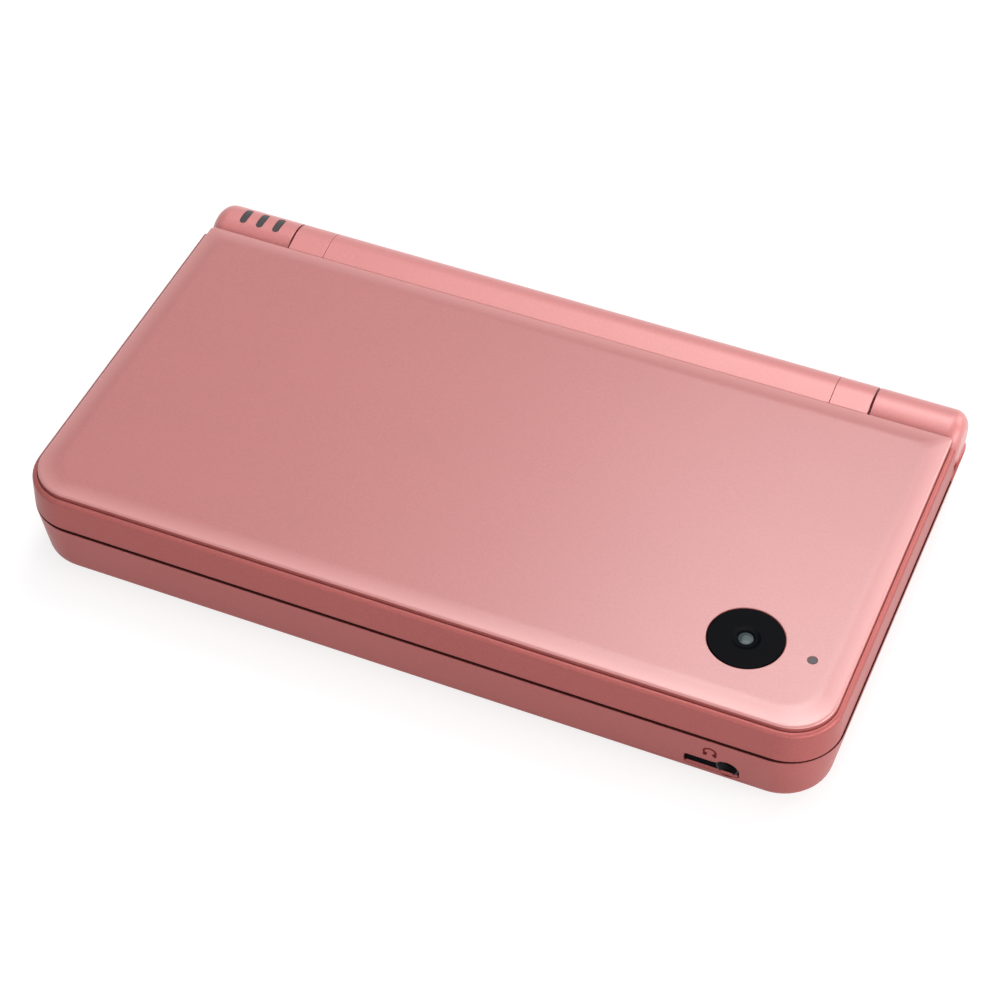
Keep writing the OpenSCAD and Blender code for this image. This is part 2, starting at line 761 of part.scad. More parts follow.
module volume_switch() {
    color(board_green) block([volume_pivot_x + 1.7, volume_pivot_x + 2.5],
        around(rocker_y, rocker_l / 2 + 1.5), [z_floor + 0.1, z_board]);
    color(steel) for (side = [-1, 1])
        block([volume_pivot_x + 1.1, volume_pivot_x + 1.7], around(rocker_y + side * 6, 1.3),
            around(volume_z, 1.2));
}

module shoulder_pins() {
    color(steel) both_sides() z_rod(shoulder_pin_r, shoulder_pin_x, shoulder_pin_y,
        [z_floor + 0.5, shoulder_z[1] + 0.8]);
}

// Close-wound return spring around each pin
module shoulder_springs() {
    wire = 0.2;
    turns = 4;
    color(steel) both_sides() translate([shoulder_pin_x, shoulder_pin_y, shoulder_z[0] - 0.15])
        rotate_extrude() {
            for (i = [0:turns - 1])
                translate([1.1, wire + i * 1.9 * wire]) circle(r = wire, $fn = 16);
        }
}

module shoulder_switches() {
    y = [shoulder_front - 1.75, shoulder_front - 0.75];
    color(black) both_sides() block(shoulder_switch_x, y, around(mid(shoulder_z) - 0.25, 1.5));
}

module stylus_sleeve() {
    r = stylus_r + 0.1;
    color(grey) difference() {
        x_rod(r + sleeve_wall, [stylus_end - stylus_l - 1, half_w - 5.2], stylus_y, stylus_z);
        x_rod(r, [stylus_end - stylus_l - 3, half_w], stylus_y, stylus_z);
    }
}

module hinge_clutch() {
    color(steel) difference() {
        axis_rod(clutch_r, clutch_x);
        axis_rod(shaft_r + fit, [clutch_x[0] - past, clutch_x[0] + 4.6]);
    }
}

module hinge_bush() {
    color(steel) difference() {
        axis_rod(bush_r, [-knuckle_in - 2, -cover_half - 1.6]);
        axis_rod(bush_r - 0.7, [-knuckle_in - 3, -cover_half]);
    }
}

module led_light_pipes() {
    color(grey) intersection() {
        for (i = lights) light_slot(i, 0);
        axis_rod(barrel_r - 0.03, [-knuckle_end, -knuckle_in]);
    }
}

module led_board() {
    color(board_green) block([-knuckle_end + 3, -knuckle_in - 2.8], around(axis_y, 2.2),
        [axis_z + 2.2, axis_z + 3]);
}

// Moving pieces of the base

module sd_card_door() {
    z = sd_door_z;
    color(rose) {
        difference() {
            intersection() {
                base_form(0);
                block([half_w - 5, half_w], around(sd_y, sd_door_half), z);
            }
            base_form(1.2);
        }
        y_rod(sd_pintle_r, sd_pivot_x, around(sd_y, sd_door_half + 0.9), sd_pivot_z);
    }
}

module volume_rocker() {
    color(rose) {
        block([volume_pivot_x - 3.4, volume_pivot_x + 0.5], around(rocker_y, rocker_l / 2),
            around(volume_z, rocker_h / 2));
        block(flange_x, around(rocker_y, flange_l / 2), around(volume_z, rocker_h / 2 + 0.7));
        z_rod(0.7, volume_pivot_x, rocker_y, [volume_z - 3.1, volume_z + 3.1]);
    }
}

module shoulder_button() {
    z = shoulder_z;
    lug_z = [z[0] + 1.5, z[1]];
    color(rose) difference() {
        union() {
            difference() {
                intersection() {
                    base_form(0);
                    block([shoulder_pin_x - 1.3, half_w + past], [shoulder_front, half_d + past], z);
                }
                intersection() {
                    base_form(1.3);
                    block([shoulder_pin_x - past - 1, half_w], [0, half_d], [z[0] - past, z[1] - 1]);
                }
            }
            z_rod(1.5, shoulder_pin_x, shoulder_pin_y, lug_z);
        }
        z_rod(shoulder_pin_r + fit, shoulder_pin_x, shoulder_pin_y, [z[0] - past, z[1] + past]);
        z_rod(1.6, shoulder_pin_x, shoulder_pin_y, [z[0] - past, lug_z[0]]);
    }
}

module shoulder_button_left() {
    mirror([1, 0, 0]) shoulder_button();
}

module shoulder_button_right() {
    shoulder_button();
}

module stylus() {
    start = stylus_end - stylus_l;
    color(pearl) {
        x_rod(stylus_r, [start + 4, stylus_end - stylus_head_l + fit], stylus_y, stylus_z);
        x_rod(stylus_head_r, [stylus_end - stylus_head_l, stylus_end], stylus_y, stylus_z);
        translate([start, stylus_y, stylus_z]) rotate([0, 90, 0])
            cylinder(r1 = 0.6, r2 = stylus_r, h = 4 + fit);
    }
}

// Round button with a slightly domed top, a flange under the deck and a hollow for its dome
module round_button(place, r, proud) {
    top = z_deck + proud;
    color(pearl) translate([place[0], place[1], 0]) rotate_extrude()
        polygon(concat([[0, flange_z[0] + 0.75], [dome_r + 0.5, flange_z[0] + 0.75],
                [dome_r + 0.5, flange_z[0]], [r + 0.8, flange_z[0]], [r + 0.8, flange_z[1]],
                [r, flange_z[1]]],
            arc([r - 0.4, top - 0.55], 0.4, 0, 70, 4), [[r * 0.4, top - 0.03], [0, top]]));
}

module face_button_top() { round_button(button_places[0], face_button_r, button_proud); }
module face_button_right() { round_button(button_places[1], face_button_r, button_proud); }
module face_button_bottom() { round_button(button_places[2], face_button_r, button_proud); }
module face_button_left() { round_button(button_places[3], face_button_r, button_proud); }
module start_button() { round_button(start_place, menu_button_r, menu_button_proud); }
module select_button() { round_button(select_place, menu_button_r, menu_button_proud); }
module power_button() { round_button(power_place, menu_button_r, menu_button_proud); }

// The tilted pad stays clear of its membrane and of the closed lid
pad_dip = (pad_span + pad_arm) / 2 * sin(pad_tilt);
pad_foot = membrane_z[1] + pad_dip + 0.06;
pad_top = z_inner - 0.1 - pad_dip;

module d_pad() {
    color(pearl) difference() {
        union() {
            translate([pad_centre[0], pad_centre[1], pad_foot])
                linear_extrude(pad_top - pad_foot) pad_cross(0);
            z_rod(pad_arm * 0.72, pad_centre[0], pad_centre[1], [pad_foot, z_deck_under - 0.5]);
        }
        // Shallow dish in the middle of the cross
        translate([pad_centre[0], pad_centre[1], pad_top + 5.5]) sphere(r = 6);
        z_rod(1.9, pad_centre[0], pad_centre[1], [pad_foot - past, pad_foot + 0.5]);
    }
}

// Rocking pip between the direction pad and the board
module d_pad_rocker() {
    color(grey) {
        z_rod(2.1, pad_centre[0], pad_centre[1], [z_board + 0.25, pad_foot - 0.2]);
        z_rod(1.5, pad_centre[0], pad_centre[1], [pad_foot - 0.25, pad_foot + 0.25]);
    }
}

// Lid

// Outer side of the lid: it leans in a little and turns over into the rim
lid_lean = 0.2;
rim_r = 0.9;
lid_profile = concat([[0, z_lid]], arc([lid_lean + rim_r, z_rim - rim_r], rim_r, 180, 90, 5));

module lid_form() {
    intersection() {
        profiled_box(around(0, lid_half_w), [lid_front, lid_back + 2 * lid_corner_r],
            lid_corner_r, lid_corner_r, lid_profile);
        block(around(0, case_w), [-half_d, lid_back], [0, z_crown]);
    }
}

// A length of the lid's barrel, with the flat that runs from its top down to the panel
module necked_rod(x) {
    axis_rod(barrel_r, x);
    translate([x[0], 0, 0]) rotate([90, 0, 90]) linear_extrude(x[1] - x[0])
        polygon([[neck_front, z_panel + fit], [axis_y - 2, z_panel + fit], neck_meet,
            [neck_front, neck_top]]);
}

module lid_frame() {
    hollow = [lid_front + wall, lid_back - wall];
    hollow_r = lid_corner_r - wall;
    color(rose) difference() {
        union() {
            difference() {
                lid_form();
                plate(around(0, lid_half_w - rim_w), [lid_front + rim_w, lid_back + 20],
                    [z_panel - fit, z_crown], lid_corner_r - rim_w);
                intersection() {
                    plate(around(0, lid_half_w - wall), [hollow[0], hollow[1] + 20],
                        [z_lid - past, z_web_under], hollow_r);
                    block(around(0, case_w), hollow, [0, z_crown]);
                }
            }
            // Neck between the lid and the barrel
            block(around(0, barrel_half), [lid_back - fit, axis_y - 3], [z_lid + 0.5, z_web]);
            both_sides() necked_rod(collar_x);
            for (x = [-lid_post_x, lid_post_x], y = lid_post_ys)
                z_rod(2.4, x, y, [z_inner_back + 0.85, z_web_under + fit]);
        }
        axis_rod(barrel_r + fit, around(0, cover_half + fit));
        axis_rod(shaft_r + 0.03, [cover_half, barrel_half + past]);
        axis_rod(bush_r + fit, [-barrel_half - past, -cover_half]);
        for (x = [-lid_post_x, lid_post_x], y = lid_post_ys)
            z_rod(0.83, x, y, [z_inner_back, z_web_under]);
        block(around(camera_place[0], 4.4), around(camera_place[1], 4.4),
            [z_web_under - past, z_rim]);
        z_rod(indicator_r + 0.05, indicator_place[0], indicator_place[1],
            [z_web_under - past, z_rim]);
        block([flex_x[0] - 0.3, flex_x[1] + 0.3], [lid_back - wall - past, axis_y],
            [flex_z[0] - 0.3, flex_z[1] + 0.3]);
    }
}

// Crown of the top panel: [inset, height below the crown] pairs from the edge inwards
crown_steps = [[0, 1.1], [0.12, 0.78], [0.4, 0.5], [0.75, 0.41], [2.8, 0.125], [3.6, 0.04], [4.6, 0]];
panel_profile = concat([[0, z_panel]], [for (s = crown_steps) [s[0], z_crown - s[1]]]);

module lid_panel() {
    back_steps = [for (p = panel_profile) [panel_back - p[0], p[1]]];
    color(rose) difference() {
        intersection() {
            profiled_box(around(0, panel_half_w), [panel_front, panel_back + 3 * lid_corner_r],
                lid_corner_r - rim_w - slip, lid_corner_r - rim_w - slip, panel_profile);
            rotate([90, 0, 90]) translate([0, 0, -half_w]) linear_extrude(case_w)
                polygon(concat(back_steps, [[panel_front - past, z_crown],
                    [panel_front - past, z_panel]]));
        }
        axis_rod(barrel_r + hinge_gap, around(0, half_w));
        z_rod(camera_r + 0.1, camera_place[0], camera_place[1], [z_panel - past, z_crown + past]);
        z_rod(indicator_r + 0.05, indicator_place[0], indicator_place[1],
            [z_panel - past, z_crown + past]);
    }
}

module lid_inner_cover() {
    edge = wall + slip;
    color(pearl) difference() {
        union() {
            intersection() {
                plate(around(0, lid_half_w - edge), [lid_front + edge, lid_back + 20],
                    [z_inner, z_inner_back], lid_corner_r - edge);
                block(around(0, case_w), [lid_front, lid_back - edge], [0, z_crown]);
            }
            for (x = [-lid_post_x, lid_post_x], y = lid_post_ys)
                z_rod(2.6, x, y, [z_inner, z_inner_back + 0.75]);
        }
        plate(around(0, screen_w / 2 + upper_border + slip),
            around(upper_screen_y, screen_d / 2 + upper_border + slip),
            [z_inner - past, z_inner_back + past], 3);
        for (x = [-speaker_x, speaker_x])
            plate(around(x, speaker_slot[0] / 2), around(speaker_y, speaker_slot[1] / 2),
                [z_inner - past, z_inner_back + past], speaker_slot[0] / 2 - 0.01);
        for (x = [-lid_post_x, lid_post_x], y = lid_post_ys) {
            z_rod(2, x, y, [z_inner - past, z_inner_back + 0.1]);
            z_rod(0.95, x, y, [z_inner, z_inner_back + past]);
        }
    }
}

module upper_screen_window() {
    color(black) plate(around(0, screen_w / 2 + upper_border),
        around(upper_screen_y, screen_d / 2 + upper_border),
        [z_inner + 0.1, z_inner_back - 0.1], 2.85);
}

module upper_lcd() {
    color(grey) block(around(0, screen_w / 2 + 2.4), around(upper_screen_y, screen_d / 2 + 1.6),
        [z_inner_back, z_inner_back + lcd_t]);
}

module speakers() {
    z = [z_inner_back + 0.1, z_inner_back + 0.1 + speaker_t];
    color(black) both_sides() difference() {
        plate(around(speaker_x, speaker_half[0]), around(speaker_y, speaker_half[1]), z,
            speaker_corner);
        plate(around(speaker_x, speaker_half[0] - speaker_rim[0]),
            around(speaker_y, speaker_half[1] - speaker_rim[1]),
            [z[0] - past, z[0] + 0.5], speaker_corner);
    }
}

module speaker_grilles() {
    rows = 5;
    pitch = 3.2;
    color(grey) both_sides() difference() {
        plate(around(speaker_x, speaker_slot[0] / 2 - 0.1),
            around(speaker_y, speaker_slot[1] / 2 - 0.1), [z_inner + 0.35, z_inner + 0.75],
            speaker_slot[0] / 2 - 0.2);
        for (i = [-(rows - 1) / 2:(rows - 1) / 2])
            z_rod(0.6, speaker_x, speaker_y + i * pitch, [z_inner, z_inner_back]);
    }
}

module outer_camera_window() {
    color(black) z_rod(camera_r, camera_place[0], camera_place[1],
        [z_crown - window_t - 0.05, z_crown - 0.05]);
}

// The outer camera under its window and the inner camera in the barrel
module camera_modules() {
    color(black) {
        block(around(camera_place[0], 4.1), around(camera_place[1], 4.1),
            [z_web_under - 1.6, z_crown - window_t - 0.1]);
        translate([0, axis_y, axis_z]) rotate([inner_camera_angle - 90, 0, 0])
            block([-2.5, 2.5], [-2.5, 2.5], [-4, -1]);
    }
}

module camera_light_pipe() {
    color([0.8, 0.5, 0.3]) z_rod(indicator_r, indicator_place[0], indicator_place[1],
        [z_web_under - 0.4, z_crown - 0.05]);
}

module hinge_barrel_cover() {
    color(rose) difference() {
        necked_rod(around(0, cover_half));
        axis_rod(barrel_r - 1.2, around(0, cover_half + past));
        inner_camera_hole(inner_camera_r + fit, 0);
        inner_camera_hole(0.5, 9);
        block([flex_x[0] - 0.3, flex_x[1] + 0.3], [axis_y - barrel_r - past, axis_y],
            [flex_z[0] - 0.3, flex_z[1] + 0.3]);
    }
}

// Round hole through the barrel's wall, facing the person when the lid is open
module inner_camera_hole(r, x) {
    translate([x, axis_y, axis_z]) rotate([inner_camera_angle - 90, 0, 0])
        translate([0, 0, -barrel_r - past]) cylinder(r = r, h = barrel_r - 2);
}

module inner_camera_window() {
    color(black) intersection() {
        translate([0, axis_y, axis_z]) rotate([inner_camera_angle - 90, 0, 0])
            z_rod(inner_camera_r, 0, 0, [-barrel_r, -barrel_r + 1]);
        axis_rod(barrel_r - 0.03, around(0, 5));
    }
}

module microphone() {
    color(steel) translate([9, axis_y, axis_z]) rotate([inner_camera_angle - 90, 0, 0])
        z_rod(1.6, 0, 0, [-barrel_r + 1.7, -barrel_r + 3.2]);
}

module lid_screws() {
    color(steel) for (x = [-lid_post_x, lid_post_x], y = lid_post_ys)
        screw(x, y, z_inner + 0.55, 1.7, 0.7, 0.8, 3.2);
}

module lid_bumpers() {
    color(rubber_grey) for (x = [-lid_post_x, lid_post_x], y = lid_post_ys)
        z_rod(1.9, x, y, [z_deck + 0.2, z_inner + 0.5]);
}

module hinge_shaft() {
    color(steel) axis_rod(shaft_r, [cover_half + 0.3, clutch_x[0] + 4.4]);
}

module lid_flex_cable() {
    color([0.75, 0.5, 0.2]) block(flex_x, [screen_d / 2 + upper_screen_y + 1.7, axis_y - 1], flex_z);
}

base_shell();
base_deck();
battery_cover();
battery_cover_screws();
battery_pack();
housing_screws();
rubber_feet();
main_board();
processor_shield();
wireless_module();
lower_lcd();
touch_panel();
face_button_membrane();
d_pad_membrane();
menu_button_membranes();
game_card_socket();
sd_card_socket();
headphone_jack();
charger_socket();
volume_switch();
shoulder_pins();
shoulder_springs();
shoulder_switches();
stylus_sleeve();
hinge_clutch();
hinge_bush();
led_light_pipes();
led_board();
sd_card_door();
volume_rocker();
shoulder_button_left();
shoulder_button_right();
stylus();
power_button();
start_button();
select_button();
face_button_top();
face_button_right();
face_button_bottom();
face_button_left();
d_pad();
d_pad_rocker();
lid_frame();
lid_panel();
lid_inner_cover();
upper_screen_window();
upper_lcd();
speakers();
speaker_grilles();
outer_camera_window();
camera_modules();
camera_light_pipe();
hinge_barrel_cover();
inner_camera_window();
microphone();
lid_screws();
lid_bumpers();
hinge_shaft();
lid_flex_cable();
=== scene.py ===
import json
import math

import bmesh
import bpy
from mathutils import Euler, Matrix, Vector
from mathutils.bvhtree import BVHTree


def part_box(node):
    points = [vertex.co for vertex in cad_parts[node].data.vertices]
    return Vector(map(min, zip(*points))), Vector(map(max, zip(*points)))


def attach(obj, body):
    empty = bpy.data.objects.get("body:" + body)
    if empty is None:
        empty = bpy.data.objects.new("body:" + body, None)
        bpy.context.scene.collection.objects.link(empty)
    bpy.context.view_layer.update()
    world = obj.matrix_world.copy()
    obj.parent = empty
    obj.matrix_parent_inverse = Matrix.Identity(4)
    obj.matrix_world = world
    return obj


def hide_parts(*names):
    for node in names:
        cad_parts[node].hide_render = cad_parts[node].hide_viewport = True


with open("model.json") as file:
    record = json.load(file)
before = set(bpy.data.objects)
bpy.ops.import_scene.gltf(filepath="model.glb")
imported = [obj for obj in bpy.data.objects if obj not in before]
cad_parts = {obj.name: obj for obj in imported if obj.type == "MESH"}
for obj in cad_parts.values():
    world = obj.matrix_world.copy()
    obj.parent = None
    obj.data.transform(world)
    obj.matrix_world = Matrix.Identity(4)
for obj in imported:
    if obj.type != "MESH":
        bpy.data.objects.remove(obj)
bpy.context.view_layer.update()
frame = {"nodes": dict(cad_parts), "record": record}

# Lengths below are in millimetres, and this turns them into Blender's metres
MM = 0.001

# Sizes of the frame that the pieces here are built on: the panel's top, the hinge barrel,
# the base's rim, the front face and its lean
CROWN_Z = 21.2
AXIS_Y = 39.7
AXIS_Z = 15.2
BARREL_R = 6.0
TOP_Z = 12.45
HALF_D = 45.7
DRAFT = math.radians(8.4)


# Camera, fitted to the photo's edges with the console's width and depth taken as given

VIEW_LENS = 98.57
VIEW_SENSOR = 36
VIEW_PLACE = (0.1405, -0.3345, 0.3924)  # metres
VIEW_TILT = 43.14  # degrees from straight down
VIEW_TURN = 22.785  # degrees to the console's right


def make_camera():
    data = bpy.data.cameras.new("photo_camera")
    data.lens = VIEW_LENS
    data.sensor_width = VIEW_SENSOR
    camera = bpy.data.objects.new("photo_camera", data)
    camera.location = VIEW_PLACE
    camera.rotation_euler = Euler((math.radians(VIEW_TILT), 0, math.radians(VIEW_TURN)))
    bpy.context.collection.objects.link(camera)
    bpy.context.scene.camera = camera


make_camera()


# Materials

class Finish:
    """A procedural material: one Principled shader and the nodes that feed it."""

    def __init__(self, name, **sockets):
        self.material = bpy.data.materials.new(name)
        self.material.use_nodes = True
        self.tree = self.material.node_tree
        self.shader = self.tree.nodes["Principled BSDF"]
        for socket, value in sockets.items():
            self.shader.inputs[socket.replace("_", " ")].default_value = value
        self.place = self.tree.nodes.new("ShaderNodeTexCoord").outputs["Object"]

    def node(self, kind, **settings):
        made = self.tree.nodes.new(kind)
        for name, value in settings.items():
            setattr(made, name, value)
        return made

    def feed(self, source, socket):
        self.tree.links.new(source, self.shader.inputs[socket])

    def noise(self, size, detail=2.0, stretch=(1, 1, 1)):
        """Smooth noise from 0 to 1, whose lumps are about size millimetres across."""
        made = self.node("ShaderNodeTexNoise")
        made.inputs["Scale"].default_value = 1 / (size * MM)
        made.inputs["Detail"].default_value = detail
        self.tree.links.new(self.stretched(stretch), made.inputs["Vector"])
        return made.outputs["Fac"]

    def cells(self, size):
        """A random value from 0 to 1 for each cell of about size millimetres."""
        made = self.node("ShaderNodeTexVoronoi")
        made.inputs["Scale"].default_value = 1 / (size * MM)
        self.tree.links.new(self.place, made.inputs["Vector"])
        split = self.node("ShaderNodeSeparateColor")
        self.tree.links.new(made.outputs["Color"], split.inputs[0])
        return split.outputs[0]

    def stretched(self, stretch):
        if stretch == (1, 1, 1):
            return self.place
        made = self.node("ShaderNodeMapping")
        made.inputs["Scale"].default_value = stretch
        self.tree.links.new(self.place, made.inputs["Vector"])
        return made.outputs[0]

    def ranged(self, value, low, high, start=0.0, end=1.0):
        """The value, with start to end spread over low to high."""
        made = self.node("ShaderNodeMapRange")
        limits = {"From Min": start, "From Max": end, "To Min": low, "To Max": high}
        for socket, number in limits.items():
            made.inputs[socket].default_value = number
        self.tree.links.new(value, made.inputs["Value"])
        return made.outputs[0]

    def blend(self, factor, one, other):
        """A colour between one and other, each a colour or a socket."""
        made = self.node("ShaderNodeMix", data_type="RGBA")
        self.tree.links.new(factor, made.inputs[0])
        for socket, colour in ((made.inputs[6], one), (made.inputs[7], other)):
            if isinstance(colour, (tuple, list)):
                socket.default_value = (*colour, 1)
            else:
                self.tree.links.new(colour, socket)
        return made.outputs[2]

    def maths(self, operation, one, other):
        made = self.node("ShaderNodeMath", operation=operation)
        for socket, value in zip(made.inputs, (one, other)):
            if isinstance(value, (int, float)):
                socket.default_value = value
            else:
                self.tree.links.new(value, socket)
        return made.outputs[0]

    def bump(self, height, depth, strength=1.0, under=None):
        """A bumped normal. Depth is the bump's height in millimetres."""
        made = self.node("ShaderNodeBump")
        made.inputs["Strength"].default_value = strength
        made.inputs["Distance"].default_value = depth * MM
        self.tree.links.new(height, made.inputs["Height"])
        if under is not None:
            self.tree.links.new(under, made.inputs["Normal"])
        return made.outputs[0]


def scaled(colour, factor):
    """The colour made darker or lighter, kept within white."""
    return tuple(min(1.0, c * factor) for c in colour)


# How far a flake's tone is from the paint's own, as a share of it
FLAKE = 0.09


def metallic_paint(name, colour, roughness, metallic, specular, coat, coat_roughness, edge=None):
    """Rose paint with fine metal flakes, soft mottling and slightly polished handling marks.

    Edge, if given, is a painted highlight: a lighter colour with the heights, in millimetres,
    where it is full and where it is gone.
    """
    paint = Finish(name, Metallic=metallic, Coat_Weight=coat, Coat_Roughness=coat_roughness,
                   Specular_IOR_Level=specular)
    flakes = paint.cells(0.24)
    fine = paint.noise(0.42, 3)
    grain = paint.maths("ADD", paint.maths("MULTIPLY", flakes, 0.6),
                        paint.maths("MULTIPLY", fine, 0.4))
    tone = paint.blend(grain, scaled(colour, 1 - FLAKE), scaled(colour, 1 + FLAKE))
    drift = paint.ranged(paint.noise(38, 2), 0, 1, 0.35, 0.65)
    darker = paint.blend(grain, scaled(colour, 0.97 - FLAKE), scaled(colour, 0.97 + FLAKE))
    shade = paint.blend(drift, tone, darker)
    # A lighter colour towards the bottom of the panel's edge band: painted highlight
    if edge:
        painted_sheen_colour, full, gone = edge
        split = paint.node("ShaderNodeSeparateXYZ")
        paint.tree.links.new(paint.place, split.inputs[0])
        sheen_share = paint.ranged(split.outputs[2], 1, 0, full * MM, gone * MM)
        shade = paint.blend(sheen_share, shade, painted_sheen_colour)
    paint.feed(shade, "Base Color")
    rub = paint.noise(14, 4, (1, 1.6, 1))
    paint.feed(paint.maths("ADD", paint.ranged(rub, roughness - 0.04, roughness + 0.04),
                           paint.ranged(flakes, -0.03, 0.03)), "Roughness")
    peel = paint.bump(paint.noise(1.3, 2), 0.004, 0.5)
    paint.feed(paint.bump(grain, 0.012, 0.35, peel), "Normal")
    return paint.material


def moulded(name, colour, roughness, grain_size, grain_depth, coat, mottle, specular=0.5):
    """Moulded plastic or a coated sheet: fine spark texture, faint mottling and smudges."""
    skin = Finish(name, Coat_Weight=coat, Coat_Roughness=0.12, Specular_IOR_Level=specular)
    cloud = skin.noise(22, 4)
    shade = skin.blend(cloud, scaled(colour, 1 - mottle), scaled(colour, 1 + mottle))
    skin.feed(shade, "Base Color")
    smudge = skin.noise(9, 5)
    skin.feed(skin.ranged(smudge, roughness - 0.06, roughness + 0.06), "Roughness")
    skin.feed(skin.bump(skin.noise(grain_size, 3), grain_depth, 0.6), "Normal")
    return skin.material


def glass_black(name, colour, roughness=0.06, specular=0.16):
    """Dark glass with faint haze and fingermarks."""
    glass = Finish(name, Specular_IOR_Level=specular)
    haze = glass.noise(30, 4)
    glass.feed(glass.blend(haze, scaled(colour, 0.85), scaled(colour, 1.15)), "Base Color")
    glass.feed(glass.ranged(glass.noise(6, 5), roughness, roughness + 0.06), "Roughness")
    glass.feed(glass.bump(glass.noise(18, 1), 0.002, 0.2), "Normal")
    return glass.material


def brushed_metal(name, colour, roughness, stretch):
    """Metal with fine lines at right angles to the axis whose stretch is largest."""
    metal = Finish(name, Metallic=1.0)
    lines = metal.noise(0.9, 6, stretch)
    metal.feed(metal.blend(lines, scaled(colour, 0.8), scaled(colour, 1.12)), "Base Color")
    metal.feed(metal.ranged(lines, roughness - 0.08, roughness + 0.1), "Roughness")
    metal.feed(metal.bump(lines, 0.006, 0.4), "Normal")
    return metal.material


def circuit_board(name):
    """Green solder mask over copper tracks, with pads."""
    board = Finish(name, Coat_Weight=0.4, Coat_Roughness=0.2)
    tracks = board.node("ShaderNodeTexBrick")
    tracks.inputs["Scale"].default_value = 1 / (6 * MM)
    tracks.inputs["Mortar Size"].default_value = 0.035
    tracks.inputs["Color1"].default_value = (0.010, 0.115, 0.050, 1)
    tracks.inputs["Color2"].default_value = (0.014, 0.140, 0.062, 1)
    tracks.inputs["Mortar"].default_value = (0.035, 0.230, 0.095, 1)
    board.tree.links.new(board.place, tracks.inputs["Vector"])
    pads = board.ranged(board.cells(1.7), 0, 1, 0.93, 0.96)
    board.feed(board.blend(pads, tracks.outputs["Color"], (0.55, 0.40, 0.16)), "Base Color")
    board.feed(board.ranged(board.noise(3, 4), 0.28, 0.45), "Roughness")
    board.feed(board.bump(tracks.outputs["Fac"], 0.02, 0.4), "Normal")
    return board.material


ROSE = (0.430, 0.115, 0.108)
MATERIALS = {
    "rose_case": metallic_paint("rose_case", (0.405, 0.113, 0.106), 0.40, 0.30, 0.08, 0.04, 0.34),
    # The panel's edge band below 21.19 mm is painted lighter, fully below 20.70 mm: painted
    # highlight
    "rose_panel": metallic_paint("rose_panel", scaled(ROSE, 0.95), 0.42, 0.06, 0.50, 1.0, 0.28,
                                 ((0.560, 0.215, 0.205), 20.70, 21.19)),
    "pearl_case": moulded("pearl_case", (0.60, 0.58, 0.565), 0.38, 0.35, 0.010, 0.10, 0.02),
    "pearl_button": moulded("pearl_button", (0.66, 0.64, 0.625), 0.22, 0.8, 0.003, 0.35, 0.015),
    "screen_black": glass_black("screen_black", (0.006, 0.007, 0.008)),
    "steel": brushed_metal("steel", (0.58, 0.58, 0.60), 0.30, (1, 9, 1)),
    "rubber": moulded("rubber", (0.045, 0.045, 0.047), 0.72, 0.5, 0.02, 0, 0.10),
    "circuit_board": circuit_board("circuit_board"),
    "dark_plastic": moulded("dark_plastic", (0.018, 0.018, 0.020), 0.45, 0.3, 0.012, 0, 0.12),
    "lcd_frame": brushed_metal("lcd_frame", (0.52, 0.53, 0.55), 0.38, (9, 1, 1)),
    "light_lens": moulded("light_lens", (0.050, 0.045, 0.048), 0.35, 2.0, 0.003, 0.05, 0.06, 0.25),
    "flex_film": moulded("flex_film", (0.42, 0.20, 0.05), 0.30, 1.2, 0.006, 0.4, 0.08),
}
# The barrel's paint is glossier than the case's, and its base colour is about a third lighter:
# painted highlight
ROSE_BARREL_LIGHTENED = metallic_paint("rose_barrel_lightened", (0.535, 0.155, 0.148), 0.46, 0.10, 0.50, 1.0, 0.42)
ROSE_WALL = metallic_paint("rose_wall", scaled(ROSE, 0.9), 0.45, 0.20, 0.04, 0.0, 0.34)
PRINT_RED = moulded("print_red", (0.140, 0.004, 0.008), 0.55, 0.3, 0.002, 0, 0.05, 0.08)
# Near-black for the socket's insert and the jack: painted shade inside the socket's slot
SOCKET_SHADE_BLACK = moulded("socket_shade_black", (0.003, 0.003, 0.004), 0.60, 0.3, 0.006, 0, 0.10, 0.02)
SOCKET_RING = moulded("socket_ring", (0.045, 0.045, 0.050), 0.40, 0.6, 0.003, 0, 0.06, 0.20)
INDICATOR_LENS = moulded("indicator_lens", (0.100, 0.085, 0.088), 0.35, 0.4, 0.003, 0, 0.06, 0.15)
# Near-black red for the band on the base's rim: painted shade in the parting line
SEAM_SHADE = moulded("seam_shade", (0.045, 0.010, 0.010), 0.70, 0.4, 0.010, 0, 0.10, 0.05)
CAMERA_GLASS = glass_black("camera_glass", (0.0020, 0.0022, 0.0034), 0.16, 0.012)
LENS_GREY = glass_black("lens_grey", (0.035, 0.052, 0.054), 0.10)
PICTURE_AREA = glass_black("picture_area", (0.014, 0.017, 0.019), 0.10)

SLOT_OF = {row["node"]: row["material_slot"] for row in frame["record"]["subparts"]}


def body_of(node):
    """The moving body that a node belongs to."""
    for body, members in frame["record"]["behaviour"]["bodies"].items():
        if node in members:
            return body
    raise ValueError(node)


# Mesh helpers

def new_piece(name, mesh, body, materials, nodes=()):
    """A finished piece: its mesh, its body, its materials and the nodes it stands for."""
    piece = bpy.data.objects.new(name, mesh)
    bpy.context.collection.objects.link(piece)
    for material in materials:
        mesh.materials.append(material)
    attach(piece, body)
    if nodes:
        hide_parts(*nodes)
    return piece


def mesh_of(name, bm, sharp=35):
    bmesh.ops.recalc_face_normals(bm, faces=bm.faces)
    mesh = bpy.data.meshes.new(name)
    bm.to_mesh(mesh)
    bm.free()
    mesh.shade_smooth()
    mesh.set_sharp_from_angle(angle=math.radians(sharp))
    return mesh


